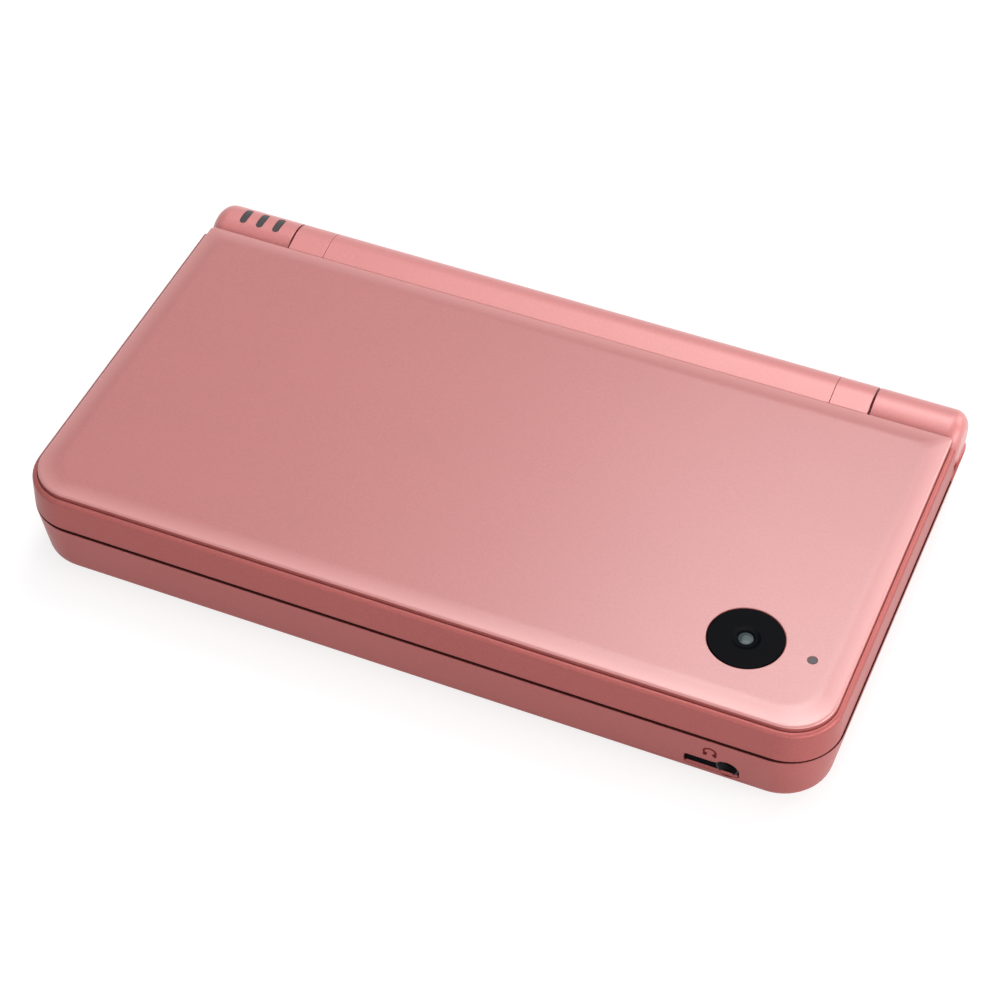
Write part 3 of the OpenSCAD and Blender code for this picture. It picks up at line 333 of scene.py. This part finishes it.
def rounded_outline(x_half, y_low, y_high, r_front, r_rear, steps=20):
    """Points around a rectangle with round corners, anticlockwise from the front right."""
    corners = (
        (x_half - r_front, y_low + r_front, r_front, -90),
        (x_half - r_rear, y_high - r_rear, r_rear, 0),
        (-x_half + r_rear, y_high - r_rear, r_rear, 90),
        (-x_half + r_front, y_low + r_front, r_front, 180),
    )
    points = []
    for x, y, r, start in corners:
        for i in range(steps + 1):
            turn = math.radians(start + 90 * i / steps)
            points.append((x + r * math.cos(turn), y + r * math.sin(turn)))
    return points


def loft(bm, rings, cap_start=True, cap_end=True, material=0):
    """Faces between rings of as many points each, in millimetres."""
    rows = [[bm.verts.new(Vector(p) * MM) for p in ring] for ring in rings]
    for low, high in zip(rows, rows[1:]):
        for i in range(len(low)):
            j = (i + 1) % len(low)
            bm.faces.new((low[i], low[j], high[j], high[i])).material_index = material
    if cap_start:
        bm.faces.new(reversed(rows[0])).material_index = material
    if cap_end:
        bm.faces.new(rows[-1]).material_index = material
    return rows


def turned(bm, centre, profile, axis="Z", segments=64, material=0, caps=True):
    """A turned form. Profile holds radius and height pairs from one end of the axis on."""
    rings = []
    for radius, height in profile:
        ring = []
        for i in range(segments):
            turn = 2 * math.pi * i / segments
            across, up = radius * math.cos(turn), radius * math.sin(turn)
            offsets = {"X": (height, across, up), "Y": (across, height, up),
                       "Z": (across, up, height)}
            ring.append([c + o for c, o in zip(centre, offsets[axis])])
        rings.append(ring)
    return loft(bm, rings, caps, caps, material)


def arc(centre, radius, start, end, steps):
    """Points of an arc, as [along, up] pairs, from one angle to another in degrees."""
    turns = [math.radians(start + (end - start) * i / steps) for i in range(steps + 1)]
    return [(centre[0] + radius * math.cos(t), centre[1] + radius * math.sin(t)) for t in turns]


def finished(piece):
    """The last step of a hand-made piece: flat faces keep flat normals beside round ones."""
    weighted = piece.modifiers.new("normals", "WEIGHTED_NORMAL")
    weighted.mode = "FACE_AREA"
    weighted.weight = 100
    weighted.keep_sharp = True
    bake_modifiers(piece)
    return piece


def cut_away(piece, cutter_bm):
    """Takes the cutter's form out of a piece, for good."""
    bmesh.ops.recalc_face_normals(cutter_bm, faces=cutter_bm.faces)
    mesh = bpy.data.meshes.new("cutter")
    cutter_bm.to_mesh(mesh)
    cutter_bm.free()
    cutter = bpy.data.objects.new("cutter", mesh)
    bpy.context.collection.objects.link(cutter)
    boolean = piece.modifiers.new("cut", "BOOLEAN")
    boolean.operation = "DIFFERENCE"
    boolean.solver = "EXACT"
    boolean.object = cutter
    bake_modifiers(piece)
    bpy.data.objects.remove(cutter)


def bake_modifiers(piece):
    """Turns a piece's modifiers into plain mesh."""
    graph = bpy.context.evaluated_depsgraph_get()
    made = bpy.data.meshes.new_from_object(piece.evaluated_get(graph))
    piece.modifiers.clear()
    piece.data = made


# Nodes of the frame whose edges are softened

def exact_normals(mesh, turn, strip):
    """Corner normals that come from the faces outside the rounded edges.

    Strip is the material index of the rounded edges' own faces.
    """
    limit = math.cos(turn)
    around = {}
    for face in mesh.polygons:
        for vertex in face.vertices:
            around.setdefault(vertex, []).append(face)
    normals = [None] * len(mesh.loops)
    for face in mesh.polygons:
        for loop, vertex in zip(face.loop_indices, face.vertices):
            plain = [f for f in around[vertex] if f.material_index != strip]
            lead = face
            if face.material_index == strip and plain:
                lead = max(plain, key=lambda f: f.normal.dot(face.normal))
            pool = [f for f in plain or around[vertex] if f.normal.dot(lead.normal) > limit]
            total = sum((f.normal * f.area for f in pool), Vector())
            normals[loop] = total.normalized() if total.length > 0 else face.normal.copy()
    mesh.normals_split_custom_set(normals)


POST_X = 70.0
LID_POST_X = 73.4

# Lines along y, by their x in millimetres, that split a wide flat face through its holes
CUT_LINES = {
    "base_deck": (-POST_X, -61.5, -56, 0, 56, 61.5, POST_X),
    "lid_inner_cover": (-LID_POST_X, -62, 0, 62, LID_POST_X),
}


WELD = 0.002
SLIVER = 0.001
FLAT_TURN = math.radians(0.4)
EDGE_TURN = math.radians(32)
# An edge is rounded only where all its neighbours are this many widths long
EDGE_ROOM = 1.3


def welded_mesh(node):
    """The node's mesh, welded, with its flat faces made whole again."""
    bm = bmesh.new()
    bm.from_mesh(frame["nodes"][node].data)
    bmesh.ops.remove_doubles(bm, verts=bm.verts, dist=WELD * MM)
    bmesh.ops.dissolve_degenerate(bm, edges=bm.edges, dist=SLIVER * MM)
    for x in CUT_LINES.get(node, ()):
        cut = bmesh.ops.bisect_plane(bm, geom=bm.verts[:] + bm.edges[:] + bm.faces[:],
                                     dist=SLIVER * MM, plane_co=(x * MM, 0, 0),
                                     plane_no=(1, 0, 0))
        for part in cut["geom_cut"]:
            if isinstance(part, bmesh.types.BMEdge):
                part.seam = True
    bmesh.ops.dissolve_limit(bm, angle_limit=FLAT_TURN, verts=bm.verts, edges=bm.edges,
                             delimit={"SEAM"})
    if node not in CUT_LINES:
        bmesh.ops.triangulate(bm, faces=[f for f in bm.faces if len(f.verts) > 4])
    mesh = bpy.data.meshes.new(node + "_form")
    bm.verts.ensure_lookup_table()
    bm.verts.index_update()
    mesh.from_pydata([v.co.copy() for v in bm.verts], [],
                     [[v.index for v in f.verts] for f in bm.faces])
    bm.free()
    return mesh


def dressed(node, width):
    """A copy of a node whose outer edges are rounded by width millimetres."""
    mesh = welded_mesh(node)
    bm = bmesh.new()
    bm.from_mesh(mesh)
    weight = bm.edges.layers.float.new("bevel_weight_edge")
    shortest = {v: min((e.calc_length() for e in v.link_edges), default=0) for v in bm.verts}
    for edge in bm.edges:
        if len(edge.link_faces) == 2 and edge.calc_face_angle(0) > EDGE_TURN:
            if min(shortest[v] for v in edge.verts) > EDGE_ROOM * width * MM:
                edge[weight] = 1.0
    surface = BVHTree.FromBMesh(bm)
    bm.to_mesh(mesh)
    bm.free()
    mesh.shade_smooth()
    mesh.set_sharp_from_angle(angle=EDGE_TURN)
    slot = SLOT_OF[node]
    # The second slot marks the rounded edges until their normals are set
    piece = new_piece(node + "_form", mesh, body_of(node), [MATERIALS[slot]] * 2, [node])
    bevel = piece.modifiers.new("edges", "BEVEL")
    bevel.material = 1
    bevel.limit_method = "WEIGHT"
    bevel.width = width * MM
    bevel.segments = 2
    bevel.use_clamp_overlap = False
    bake_modifiers(piece)
    # Corners that the rounding threw off the surface go back onto it
    for vertex in piece.data.vertices:
        near, _, _, distance = surface.find_nearest(vertex.co)
        if distance > 0.5 * width * MM:
            vertex.co = near
    piece.data.update()
    exact_normals(piece.data, EDGE_TURN, 1)
    piece.data.materials.pop()
    for face in piece.data.polygons:
        face.material_index = 0
    return piece


# How far around the barrel its paint reaches: over the neck, and down the barrel itself
NECK_REACH = 0.9
NECK_DOWN = 2
NECK_FRONT = 4.7
BARREL_REACH = 0.1
BARREL_DOWN = 5.4


def gloss_and_lighten_barrel(piece):
    """The glossier paint goes on the faces of the hinge barrel, with a base colour lighter than the
    case's as painted highlight.
    """
    piece.data.materials.append(ROSE_BARREL_LIGHTENED)
    for face in piece.data.polygons:
        centre = face.center / MM
        reach = math.hypot(centre.y - AXIS_Y, centre.z - AXIS_Z)
        on_neck = (centre.z > AXIS_Z - NECK_DOWN and reach < BARREL_R + NECK_REACH
                   and centre.y > AXIS_Y - NECK_FRONT)
        on_barrel = reach < BARREL_R + BARREL_REACH and centre.z > AXIS_Z - BARREL_DOWN
        if on_neck or on_barrel:
            face.material_index = 1


# Nodes whose edges are rounded, and how wide, in millimetres
EDGE_WIDTHS = {
    "base_shell": 0.12, "lid_frame": 0.12, "hinge_barrel_cover": 0.10, "battery_cover": 0.15,
    "base_deck": 0.18, "lid_inner_cover": 0.2, "sd_card_door": 0.15, "volume_rocker": 0.35,
    "shoulder_button_left": 0.25, "shoulder_button_right": 0.25, "d_pad": 0.45,
    "speaker_grilles": 0.08, "battery_pack": 0.3, "rubber_feet": 0.1,
}
for node, width in EDGE_WIDTHS.items():
    piece = dressed(node, width)
    if node in ("base_shell", "lid_frame", "hinge_barrel_cover"):
        gloss_and_lighten_barrel(piece)


# Top panel of the lid

PANEL_HALF_W = 78.9
PANEL_FRONT = -44.1
PANEL_BACK = 35.0
PANEL_BOTTOM = 19.15
PANEL_R_FRONT = 8.7
PANEL_R_REAR = 0.8
PANEL_FOOT = 0.12
# Depth below the top at which the panel's upright wall begins
WALL_BELOW = 0.72
CROWN_DROP = 1.1
LIP_IN = 0.55
BAND_IN = 2.9
CROWN_IN = 4.6
BAND_SLOPE = 0.14
HINGE_ROOM = 0.25
CAMERA = (59.0, -27.8)
CAMERA_R = 7.0
INDICATOR = (71.5, -28.1)
INDICATOR_R = 0.85


def crown_profile():
    """Inset and drop pairs across the panel's edge: round lip, sloping band, soft fold."""
    fold = CROWN_IN - BAND_IN
    band_drop = BAND_SLOPE * fold / 2
    lip_drop = band_drop + BAND_SLOPE * (BAND_IN - LIP_IN)
    lip_height = CROWN_DROP - lip_drop - BAND_SLOPE * LIP_IN
    pairs = []
    for i in range(9):
        turn = math.radians(90 * i / 8)
        inset = LIP_IN * (1 - math.cos(turn))
        slope_drop = lip_drop + BAND_SLOPE * (LIP_IN - inset)
        pairs.append((inset, slope_drop + lip_height * (1 - math.sin(turn))))
    for i in range(1, 5):
        inset = LIP_IN + (BAND_IN - LIP_IN) * i / 4
        pairs.append((inset, band_drop + BAND_SLOPE * (BAND_IN - inset)))
    for i in range(1, 9):
        left = 1 - i / 8
        pairs.append((CROWN_IN - fold * left, band_drop * left ** 2))
    return pairs


def lid_panel():
    rings = []

    def ring(inset, z):
        """One outline of the panel, kept clear of the turning barrel behind it."""
        r_front = PANEL_R_FRONT - 0.55 * inset
        r_rear = PANEL_R_REAR + 0.3 * inset
        reach = BARREL_R + HINGE_ROOM
        rise = z - AXIS_Z
        back = PANEL_BACK - inset
        if rise < reach:
            back = min(back, AXIS_Y - math.sqrt(reach ** 2 - rise ** 2) - 0.02)
        points = rounded_outline(PANEL_HALF_W - inset, PANEL_FRONT + inset, back,
                                 r_front, r_rear)
        rings.append([(x, y, z) for x, y in points])

    ring(PANEL_FOOT, PANEL_BOTTOM)
    ring(0.0, PANEL_BOTTOM + PANEL_FOOT)
    for inset, drop in crown_profile():
        ring(inset, CROWN_Z - drop)
    # A flat margin, so that the flat middle keeps upright normals
    ring(CROWN_IN + 0.3, CROWN_Z)
    bm = bmesh.new()
    loft(bm, rings)
    for face in bm.faces:
        if face.calc_center_median().z / MM < CROWN_Z - WALL_BELOW:
            face.material_index = 1
    mesh = mesh_of("lid_panel_form", bm, 40)
    piece = new_piece("lid_panel_form", mesh, "lid",
                      [MATERIALS["rose_panel"], ROSE_WALL], ["lid_panel"])
    holes = ((CAMERA, CAMERA_R + 0.1, 0.22), (INDICATOR, INDICATOR_R + 0.05, 0.12))
    for (x, y), radius, lip in holes:
        cutter = bmesh.new()
        mouth = [(radius + lip - lip * math.cos(t), CROWN_Z - lip + lip * math.sin(t))
                 for t in (math.radians(90 * i / 5) for i in range(6))]
        profile = [(radius, PANEL_BOTTOM - 1), *mouth, (radius + lip, CROWN_Z + 1)]
        turned(cutter, (x, y, 0), profile, segments=96)
        cut_away(piece, cutter)
    piece.data.shade_smooth()
    piece.data.set_sharp_from_angle(angle=math.radians(40))
    return finished(piece)


lid_panel()


# Outer camera and its indicator

def outer_camera():
    top = CROWN_Z - 0.05
    low = top - 0.95
    bm = bmesh.new()
    turned(bm, (*CAMERA, 0), [
        (6.9, low), (CAMERA_R, low + 0.1), (CAMERA_R, top - 0.2),
        *arc((CAMERA_R - 0.2, top - 0.2), 0.2, 0, 90, 5),
        (2.75, top), (2.65, top - 0.03), (1.75, top - 0.03), (1.55, top - 0.16), (1.4, top - 0.18),
    ], segments=96)
    lens = [(1.4, top - 0.2), (1.38, top - 0.15), (1.2, top - 0.10), (0.8, top - 0.06),
            (0.3, top - 0.045)]
    turned(bm, (*CAMERA, 0), lens, segments=48, material=1)
    mesh = mesh_of("outer_camera_glass", bm, 30)
    return finished(new_piece("outer_camera_glass", mesh, "lid",
                              [CAMERA_GLASS, LENS_GREY], ["outer_camera_window"]))


outer_camera()


# Buttons

DECK_Z = 12.05
FLANGE_Z = (9.9, 10.6)
FLANGE_OUT = 0.8
BUTTON_HOLLOW_R = 2.5
BUTTON_HOLLOW_Z = FLANGE_Z[0] + 0.75


def round_button(node, radius, top):
    """A domed button with its flange, hollow below where it sits on its rubber dome."""
    low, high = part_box(node)
    centre = ((low.x + high.x) / 2 / MM, (low.y + high.y) / 2 / MM, 0)
    edge = min(0.55, radius * 0.2)
    bm = bmesh.new()
    turned(bm, centre, [
        (0.02, BUTTON_HOLLOW_Z), (BUTTON_HOLLOW_R, BUTTON_HOLLOW_Z),
        (BUTTON_HOLLOW_R, FLANGE_Z[0]), (radius + FLANGE_OUT, FLANGE_Z[0]),
        (radius + FLANGE_OUT, FLANGE_Z[1]), (radius, FLANGE_Z[1]),
        (radius, top - edge - 0.12), *arc((radius - edge, top - edge - 0.12), edge, 8, 82, 7),
        (radius * 0.62, top - 0.045), (radius * 0.3, top - 0.012), (0.02, top),
    ], segments=64)
    mesh = mesh_of(node + "_form", bm, 40)
    return finished(new_piece(node + "_form", mesh, body_of(node),
                              [MATERIALS["pearl_button"]], [node]))


for side in ("top", "right", "bottom", "left"):
    round_button("face_button_" + side, 3.5, DECK_Z + 1.3)
for use in ("start", "select", "power"):
    round_button(use + "_button", 2.4, DECK_Z + 0.6)


# Screens

def screen_window(node, name, picture, corner, body, outward):
    """A black window with the slightly greyer picture area behind its glass."""
    low, high = (corner_point / MM for corner_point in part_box(node))
    face_z, back_z = (high.z, low.z) if outward > 0 else (low.z, high.z)
    x_half = (high.x - low.x) / 2
    bm = bmesh.new()
    rings = []

    def ring(inset, z, r):
        points = rounded_outline(x_half - inset, low.y + inset, high.y - inset, r, r, 10)
        rings.append([(x, y, z) for x, y in points])

    ring(0, back_z, corner)
    ring(0, face_z - outward * 0.15, corner)
    ring(0.04, face_z - outward * 0.05, corner)
    ring(0.14, face_z, corner)
    loft(bm, rings, cap_end=False)
    outer = [v for v in bm.verts if abs(v.co.z / MM - face_z) < 1e-4]
    outer_edges = [e for e in bm.edges if all(v in outer for v in e.verts)]
    half_w, y_low, y_high = picture
    inner = [bm.verts.new(Vector((x, y, face_z)) * MM)
             for x, y in rounded_outline(half_w, y_low, y_high, 0.3, 0.3, 4)]
    inner_edges = [bm.edges.new((inner[i], inner[(i + 1) % len(inner)]))
                   for i in range(len(inner))]
    bmesh.ops.triangle_fill(bm, edges=outer_edges + inner_edges, use_beauty=True)
    for face in [f for f in bm.faces if all(v in inner for v in f.verts)]:
        bm.faces.remove(face)
    bm.faces.new(inner).material_index = 1
    mesh = mesh_of(name, bm, 30)
    return finished(new_piece(name, mesh, body,
                              [MATERIALS["screen_black"], PICTURE_AREA], [node]))


# Pictures as half width, low y and high y
TOUCH_PICTURE = (42.65, -36.0, 28.0)
UPPER_PICTURE = (42.65, -38.0, 26.0)
screen_window("touch_panel", "touch_panel_glass", TOUCH_PICTURE, 0.9, "base", 1)
screen_window("upper_screen_window", "upper_screen_glass", UPPER_PICTURE, 2.85, "lid", -1)


# Stylus

def stylus():
    low, high = (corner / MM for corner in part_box("stylus"))
    centre = (0, (low.y + high.y) / 2, (low.z + high.z) / 2)
    shaft, head = 2.45, 2.8
    bm = bmesh.new()
    turned(bm, centre, [
        (0.02, low.x), *[(0.62 * math.sin(t), low.x + 0.62 - 0.62 * math.cos(t))
                         for t in (math.radians(22.5 * i) for i in range(1, 4))],
        (0.75, low.x + 0.7), (shaft - 0.15, low.x + 3.6), (shaft, low.x + 4.2),
        (shaft, high.x - 2.8), (shaft + 0.1, high.x - 2.7), (head, high.x - 2.5),
        (head, high.x - 0.6), (head - 0.12, high.x - 0.25), (head - 0.4, high.x - 0.06),
        (head - 0.8, high.x), (0.02, high.x),
    ], axis="X", segments=48)
    mesh = mesh_of("stylus_form", bm, 40)
    return finished(new_piece("stylus_form", mesh, "stylus",
                              [MATERIALS["pearl_button"]], ["stylus"]))


stylus()


# Headphone pictogram, printed on the front face over the socket

def front_face(x, z, proud):
    """A point of the base's leaning front face."""
    return (x, -HALF_D + (TOP_Z - z) * math.tan(DRAFT) - proud, z)


def headphone_pictogram():
    centre_x, centre_z, radius, line = 59.15, 8.95, 1.32, 0.40
    proud, depth = 0.03, 0.05
    bm = bmesh.new()

    def slab(outline):
        loft(bm, [[front_face(x, z, proud) for x, z in outline],
                  [front_face(x, z, -depth) for x, z in outline]])

    band = arc((centre_x, centre_z), radius, -40, 220, 32)
    inner = arc((centre_x, centre_z), radius - line, 220, -40, 32)
    slab(band + inner)
    for side in (-1, 1):
        cup_x, cup_z = centre_x + side * (radius - 0.42), centre_z - 0.85
        lean = math.radians(side * 20)
        cup = []
        for x, z in arc((0, 0), 1, 0, 345, 23):
            along, up = 0.40 * x, 0.58 * z
            cup.append((cup_x + along * math.cos(lean) - up * math.sin(lean),
                        cup_z + along * math.sin(lean) + up * math.cos(lean)))
        slab(cup)
    mesh = mesh_of("headphone_pictogram", bm, 30)
    return new_piece("headphone_pictogram", mesh, "base", [PRINT_RED])


headphone_pictogram()


# Near-black insert that fills the headphone socket's slot in the front wall as painted shade, with
# the socket's ring and lower ledge

JACK_X, JACK_Z = 62.3, 4.8
SLOT_X = (54.23, 64.67)
SLOT_Z = (2.93, 5.97)
SOCKET_IN_Y = -43.95
SOCKET_BACK_Y = -42.12


def headphone_shade_insert():
    x_mid, z_mid = sum(SLOT_X) / 2, sum(SLOT_Z) / 2
    half_l, half_h, r = (SLOT_X[1] - SLOT_X[0]) / 2, (SLOT_Z[1] - SLOT_Z[0]) / 2, 0.75
    outline = [(x_mid + x, z_mid + z)
               for x, z in rounded_outline(half_l, -half_h, half_h, r, r, 6)]
    bm = bmesh.new()
    loft(bm, [[(x, y, z) for x, z in outline] for y in (SOCKET_BACK_Y, SOCKET_IN_Y)])
    mesh = mesh_of("headphone_shade_insert", bm, 35)
    piece = new_piece("headphone_shade_insert", mesh, "base", [SOCKET_SHADE_BLACK])
    cutter = bmesh.new()
    turned(cutter, (JACK_X, 0, JACK_Z), [(2.0, -46), (2.0, -40)], axis="Y")
    cut_away(piece, cutter)
    return finished(piece)


def headphone_ring():
    outer, inner, edge = 2.12, 1.86, 0.06
    bm = bmesh.new()
    front, back = SOCKET_IN_Y - 0.15, SOCKET_BACK_Y
    section = [(inner, back), (inner, front + edge), (inner + edge, front), (outer - edge, front),
               (outer, front + edge), (outer, back)]
    rows = turned(bm, (JACK_X, 0, JACK_Z), section, axis="Y", caps=False)
    # Closes the ring at its back, between the last row and the first
    steps = len(rows[0])
    for i in range(steps):
        j = (i + 1) % steps
        bm.faces.new((rows[-1][i], rows[-1][j], rows[0][j], rows[0][i]))
    mesh = mesh_of("headphone_ring", bm, 35)
    return finished(new_piece("headphone_ring", mesh, "base", [SOCKET_RING]))


def headphone_ledge():
    """Sloping lower edge of the slot, which catches the light."""
    x_mid = sum(SLOT_X) / 2
    low, top = SLOT_Z[0] + 0.02, SLOT_Z[0] + 0.5
    section = [(front_face(0, low, -0.06)[1], low), (SOCKET_IN_Y, top), (SOCKET_IN_Y, low)]
    rings = []
    for along, height in ((-1, 0.25), (-0.94, 1), (0.94, 1), (1, 0.25)):
        x = x_mid + along * (SLOT_X[1] - SLOT_X[0] - 0.3) / 2
        rings.append([(x, y, low + (z - low) * height) for y, z in section])
    bm = bmesh.new()
    loft(bm, rings)
    mesh = mesh_of("headphone_ledge", bm, 35)
    return finished(new_piece("headphone_ledge", mesh, "base", [ROSE_WALL]))


headphone_shade_insert()
headphone_ring()
headphone_ledge()


# Near-black band on the base's rim, painted shade that stands in for the dark line between the lid
# and the base

def parting_shade_band():
    """A low near-black band on the rim, a little inside the shell's outer edge, open at the hinge:
    painted shade for the parting gap.
    """
    outer_in, inner_in, height = 0.10, 1.0, 0.22
    bm = bmesh.new()
    x_half, front, rear, r, steps = 80.5, -HALF_D, 31.5, 11.0, 24

    def path(inset):
        x, y = x_half - r, front + r
        turns = [math.radians(90 * i / steps) for i in range(steps + 1)]
        reach = r - inset
        right = [(x + reach * math.cos(t), y - reach * math.sin(t)) for t in turns]
        left = [(-x - reach * math.sin(t), y - reach * math.cos(t)) for t in turns]
        return [(x_half - inset, rear)] + right + left + [(inset - x_half, rear)]

    outer, inner = path(outer_in), path(inner_in)
    low, high = TOP_Z - 0.02, TOP_Z + height
    rows = [[bm.verts.new(Vector((x, y, z)) * MM) for x, y in ring]
            for ring, z in ((outer, low), (outer, high), (inner, high), (inner, low))]
    for a, b in zip(rows, rows[1:] + rows[:1]):
        for i in range(len(a) - 1):
            bm.faces.new((a[i], a[i + 1], b[i + 1], b[i]))
    for end in (0, -1):
        bm.faces.new([row[end] for row in rows])
    mesh = mesh_of("parting_shade_band", bm, 35)
    return finished(new_piece("parting_shade_band", mesh, "base", [SEAM_SHADE]))


parting_shade_band()


# Nodes that keep the frame's own shape

# The headphone jack, hinge bush and hinge clutch are near-black: painted shade for the socket slot
# and the gaps beside the hinge knuckles
DARK_NODES = {
    "headphone_jack": SOCKET_SHADE_BLACK,
    "hinge_bush": MATERIALS["dark_plastic"],
    "hinge_clutch": MATERIALS["dark_plastic"],
    "camera_light_pipe": INDICATOR_LENS,
}
for node, thing in frame["nodes"].items():
    if not thing.hide_render:
        thing.data.materials.clear()
        thing.data.materials.append(DARK_NODES.get(node) or MATERIALS[SLOT_OF[node]])


# Studio

def white_when_seen(tree, target, lit, seen):
    """Mixes two shaders. Camera, glossy and transmission rays meet seen, all others lit."""
    rays = tree.nodes.new("ShaderNodeLightPath")
    total = rays.outputs["Is Camera Ray"]
    for ray in ("Is Glossy Ray", "Is Transmission Ray"):
        add = tree.nodes.new("ShaderNodeMath")
        add.operation = "ADD"
        add.use_clamp = True
        tree.links.new(total, add.inputs[0])
        tree.links.new(rays.outputs[ray], add.inputs[1])
        total = add.outputs[0]
    mix = tree.nodes.new("ShaderNodeMixShader")
    tree.links.new(total, mix.inputs[0])
    tree.links.new(lit, mix.inputs[1])
    tree.links.new(seen, mix.inputs[2])
    tree.links.new(mix.outputs[0], target)


def make_floor():
    """A pale floor whose seen side is close to white and still takes the object's shadow."""
    bm = bmesh.new()
    reach = 4000
    bm.faces.new([bm.verts.new(Vector((x, y, 0)) * MM)
                  for x, y in ((-reach, -reach), (reach, -reach), (reach, reach), (-reach, reach))])
    mesh = bpy.data.meshes.new("floor")
    bm.to_mesh(mesh)
    bm.free()
    floor = bpy.data.objects.new("floor", mesh)
    bpy.context.collection.objects.link(floor)
    material = bpy.data.materials.new("floor")
    material.use_nodes = True
    tree = material.node_tree
    tree.nodes.remove(tree.nodes["Principled BSDF"])
    plain = tree.nodes.new("ShaderNodeBsdfDiffuse")
    plain.inputs["Color"].default_value = (0.80, 0.80, 0.80, 1)
    shaded = tree.nodes.new("ShaderNodeBsdfDiffuse")
    shaded.inputs["Color"].default_value = (0.30, 0.30, 0.30, 1)
    glow = tree.nodes.new("ShaderNodeEmission")
    glow.inputs["Strength"].default_value = 0.78
    both = tree.nodes.new("ShaderNodeAddShader")
    tree.links.new(shaded.outputs[0], both.inputs[0])
    tree.links.new(glow.outputs[0], both.inputs[1])
    surface = tree.nodes["Material Output"].inputs["Surface"]
    white_when_seen(tree, surface, plain.outputs[0], both.outputs[0])
    mesh.materials.append(material)


# The world's strength as light on the object, and as what is seen and mirrored
WORLD_LIT = 0.10
WORLD_SEEN = 1.0


def make_world():
    world = bpy.data.worlds.new("studio")
    world.use_nodes = True
    bpy.context.scene.world = world
    tree = world.node_tree
    tree.nodes.clear()
    output = tree.nodes.new("ShaderNodeOutputWorld")
    shaders = []
    for strength in (WORLD_LIT, WORLD_SEEN):
        shader = tree.nodes.new("ShaderNodeBackground")
        shader.inputs["Color"].default_value = (1, 1, 1, 1)
        shader.inputs["Strength"].default_value = strength
        shaders.append(shader.outputs[0])
    white_when_seen(tree, output.inputs["Surface"], *shaders)


# Soft boxes: name, place and size in millimetres, watts
LIGHTS = (
    ("right", (1000, 0, 350), (600, 400), 5.2),
    ("over_front", (-50, 400, 950), (330, 330), 2.1),
    ("over_middle", (-50, 700, 950), (330, 330), 1.75),
    ("over_right", (250, 750, 950), (330, 330), 1.0),
    ("back_right", (700, 900, 500), (400, 400), 3.3),
    ("over_edge", (-200, 280, 900), (640, 110), 0.6),
    ("over_corner", (115, 380, 900), (190, 170), 0.6),
    ("front", (0, -1000, 350), (600, 400), 1.3),
    ("front_right", (750, -750, 350), (600, 400), 4.0),
    ("front_high", (-100, -650, 900), (500, 350), 0.6),
    ("top", (0, 0, 1100), (400, 400), 2.5),
)


# All soft boxes face the middle of the console
LIGHT_AIM = (0, 0, 10)


def soft_light(name, place, size, watts):
    data = bpy.data.lights.new(name, "AREA")
    data.shape = "RECTANGLE"
    data.size, data.size_y = (s * MM for s in size)
    data.energy = watts
    light = bpy.data.objects.new(name, data)
    light.location = Vector(place) * MM
    light.rotation_euler = (Vector(LIGHT_AIM) - Vector(place)).to_track_quat("-Z", "Y").to_euler()
    bpy.context.collection.objects.link(light)


make_floor()
make_world()
for name, place, size, watts in LIGHTS:
    soft_light(name, place, size, watts)

bpy.context.scene.view_settings.view_transform = "Standard"
